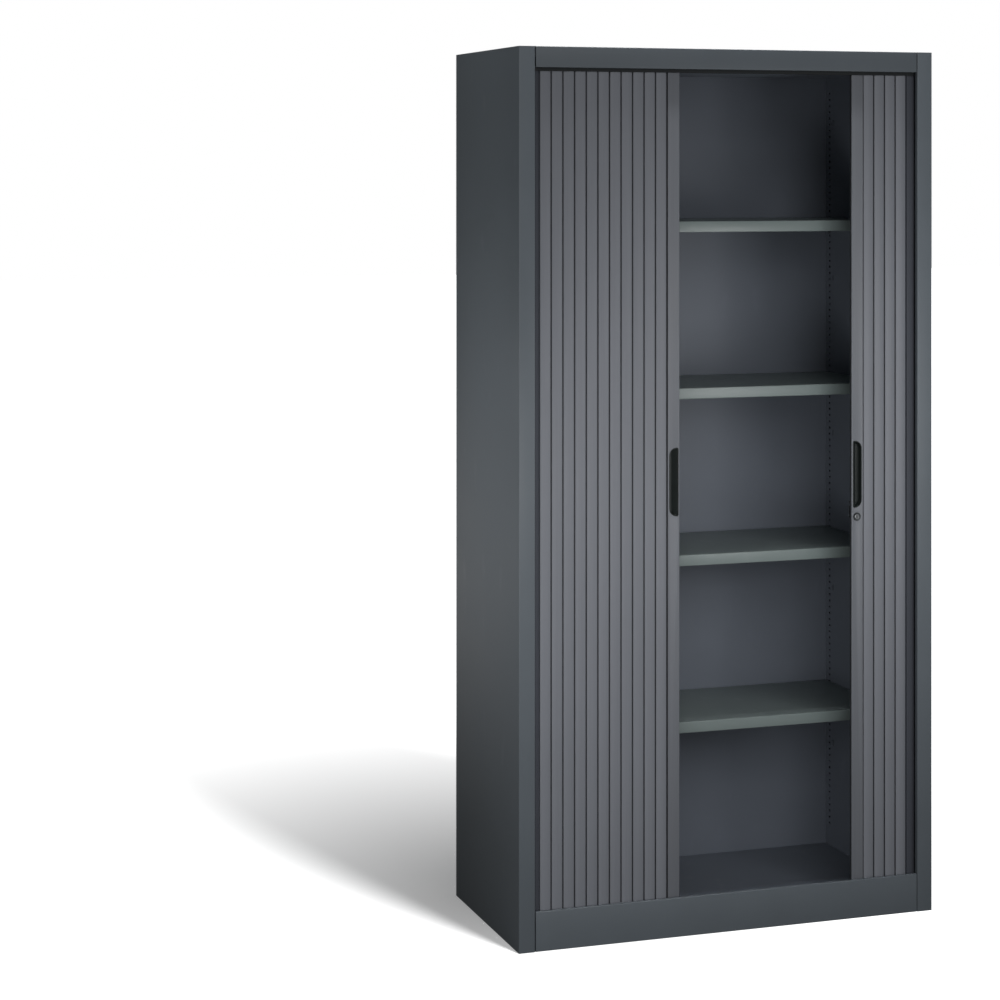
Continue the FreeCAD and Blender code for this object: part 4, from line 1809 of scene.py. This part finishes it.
class Studio:
    """Floor, white surroundings, lamps and camera."""

    floor_size = 60
    floor_drop = 0.2 * MM
    floor_white = 0.8
    floor_dim = 0.05
    shadow_foot = (-0.25, 0.2, 0)
    # painted shadow: the floor's glow for the eye is weakest near the shadow's foot, so the lamp's shadow
    # is darkest by the cabinet and fades out with distance
    glow_seen = Glow(0.25, 1.45, 0.28, 1.0)
    glow_mirrored = Glow(0.6, 3.0, 0.07, 0.43)
    glow_far = Glow(4.0, 18.0, 1.0, 0.1)
    sky_mirrored = 0.02
    sky_tint = (0.92, 0.97, 1.0, 1)
    sky_strength = 0.05
    shadow_light = Skylight("shadow_light", 20.7, 33, 14, 5.6)
    lamps = (
        Skylight("low_skylight", -14, 8, 25, 0.27),
        Skylight("high_skylight", -14, 24, 25, 0.34),
        Softbox("left_box", (-0.45, -1.05, 0.95), (-0.36, -0.2, 0.95), (0.35, 0.4), 1.85),
        Softbox("right_low_box", (0.45, -1.05, 0.95), (0.36, -0.2, 0.95), (0.35, 0.4), 1.35),
        Softbox("right_high_box", (0.45, -1.05, 1.3), (0.36, -0.2, 1.3), (0.35, 0.4), 1.6),
        Softbox("key_box", (1.1, -2.0, 1.05), (0.0, -0.2, 1.05), (0.7, 0.5), 2.9),
        Softbox("foot_box", (-1.1, -1.4, 0.45), (-0.3, -0.2, 0.4), (0.6, 0.4), 4.1),
        Softbox("side_low_box", (-1.0, 0.0, 0.8), (-0.5, 0.0, 0.8), (0.4, 0.3), 0.55),
        Softbox("side_high_box", (-1.0, 0.0, 1.25), (-0.5, 0.0, 1.25), (0.4, 0.3), 0.85),
        Softbox("right_box", (1.9, 0.2, 1.15), (0.5, 0.0, 1.1), (0.9, 0.5), 9.0),
        Softbox("rear_box", (1.5, 2.6, 1.6), (0.1, 0.2, 1.0), (1.2, 1.2), 36.0),
        Softbox("top_box", (0.0, 0.0, 3.6), (0.0, 0.0, 1.95), (1.4, 0.9), 9.0, 50.0),
    )

    def floor(self) -> bpy.types.Object:
        """White floor that keeps the shadow.

        Returns:
            The floor.
        """
        Bench.clear()
        bpy.ops.mesh.primitive_plane_add(size=self.floor_size, location=(0, 0, -self.floor_drop))
        floor = Bench.settle(bpy.context.object, "studio_floor")
        paint = Paint.named("studio_floor_white")
        rays = paint.node("ShaderNodeLightPath").outputs
        seen = Flow(paint, rays["Is Camera Ray"])
        mirrored = Flow(paint, rays["Is Glossy Ray"])
        ends = {0: paint.place(), 1: self.shadow_foot}
        away = paint.number("ShaderNodeVectorMath", {"operation": "DISTANCE"}, ends, "Value")
        by_gloss = self.glow_mirrored.over(away) * self.glow_far.over(away)
        # painted shadow: the glow the eye sees grows with distance from the shadow's foot
        strength = self.glow_seen.over(away) * seen + by_gloss * mirrored
        glow = paint.node("ShaderNodeEmission", {}, {"Color": (1, 1, 1, 1), "Strength": strength})
        dim, white = (
            paint.node("ShaderNodeBsdfDiffuse", {}, {"Color": (level, level, level, 1)})
            for level in (self.floor_dim, self.floor_white)
        )
        ground = paint.node("ShaderNodeMixShader", {}, {0: seen, 1: dim.outputs[0], 2: white.outputs[0]})
        both = paint.node("ShaderNodeAddShader", {}, {0: ground.outputs[0], 1: glow.outputs[0]})
        floor.data.materials.append(paint.close("ShaderNodeOutputMaterial", both))
        return floor

    def world(self) -> None:
        """White surroundings for the eye, dim ones for the light on the object."""
        paint = Paint(bpy.data.worlds.new("studio_world"))
        rays = paint.node("ShaderNodeLightPath").outputs
        direct = {0: rays["Is Camera Ray"], 1: rays["Is Transmission Ray"]}
        eye = paint.number("ShaderNodeMath", {"operation": "MAXIMUM"}, direct)
        share = Flow(paint, rays["Is Glossy Ray"]) * self.sky_mirrored + eye
        white = paint.node("ShaderNodeBackground", {}, {"Color": (1, 1, 1, 1)})
        sky = {"Color": self.sky_tint, "Strength": self.sky_strength}
        dim = paint.node("ShaderNodeBackground", {}, sky)
        mixed = paint.node("ShaderNodeMixShader", {}, {0: share, 1: dim.outputs[0], 2: white.outputs[0]})
        bpy.context.scene.world = paint.close("ShaderNodeOutputWorld", mixed)

    def hang_lamps(self, floor: bpy.types.Object) -> None:
        """Hang the lamps about the cabinet, and the one that throws its long shadow on the floor.

        Args:
            floor: the floor, which the shadow's lamp lights alone and the others leave out.
        """
        floor_alone = bpy.data.collections.new("floor_alone")
        floor_alone.objects.link(floor)
        all_but_floor = bpy.data.collections.new("all_but_floor")
        all_but_floor.objects.link(floor)
        all_but_floor.collection_objects[0].light_linking.link_state = "EXCLUDE"
        self.shadow_light.hang(floor_alone)
        for lamp in self.lamps:
            lamp.hang(all_but_floor)

    def build(self) -> None:
        """Set everything up."""
        floor = self.floor()
        self.world()
        self.hang_lamps(floor)
        Viewpoint().set_up()
        bpy.context.scene.view_settings.view_transform = "Standard"


def main() -> None:
    """Build the cabinet and the studio."""
    logging.basicConfig(level=logging.INFO, format="%(message)s")
    Studio().build()
    finishes = Finishes()
    Case(finishes).build()
    Shelves(finishes).build()
    slat = SlatShape().make()
    for side in (LEFT, RIGHT):
        Curtain(finishes, side, slat).build()
        LeadStile(finishes, side).build()
    bpy.data.objects.remove(slat)
    Lock(finishes).build()


if __name__ == "__main__":
    main()
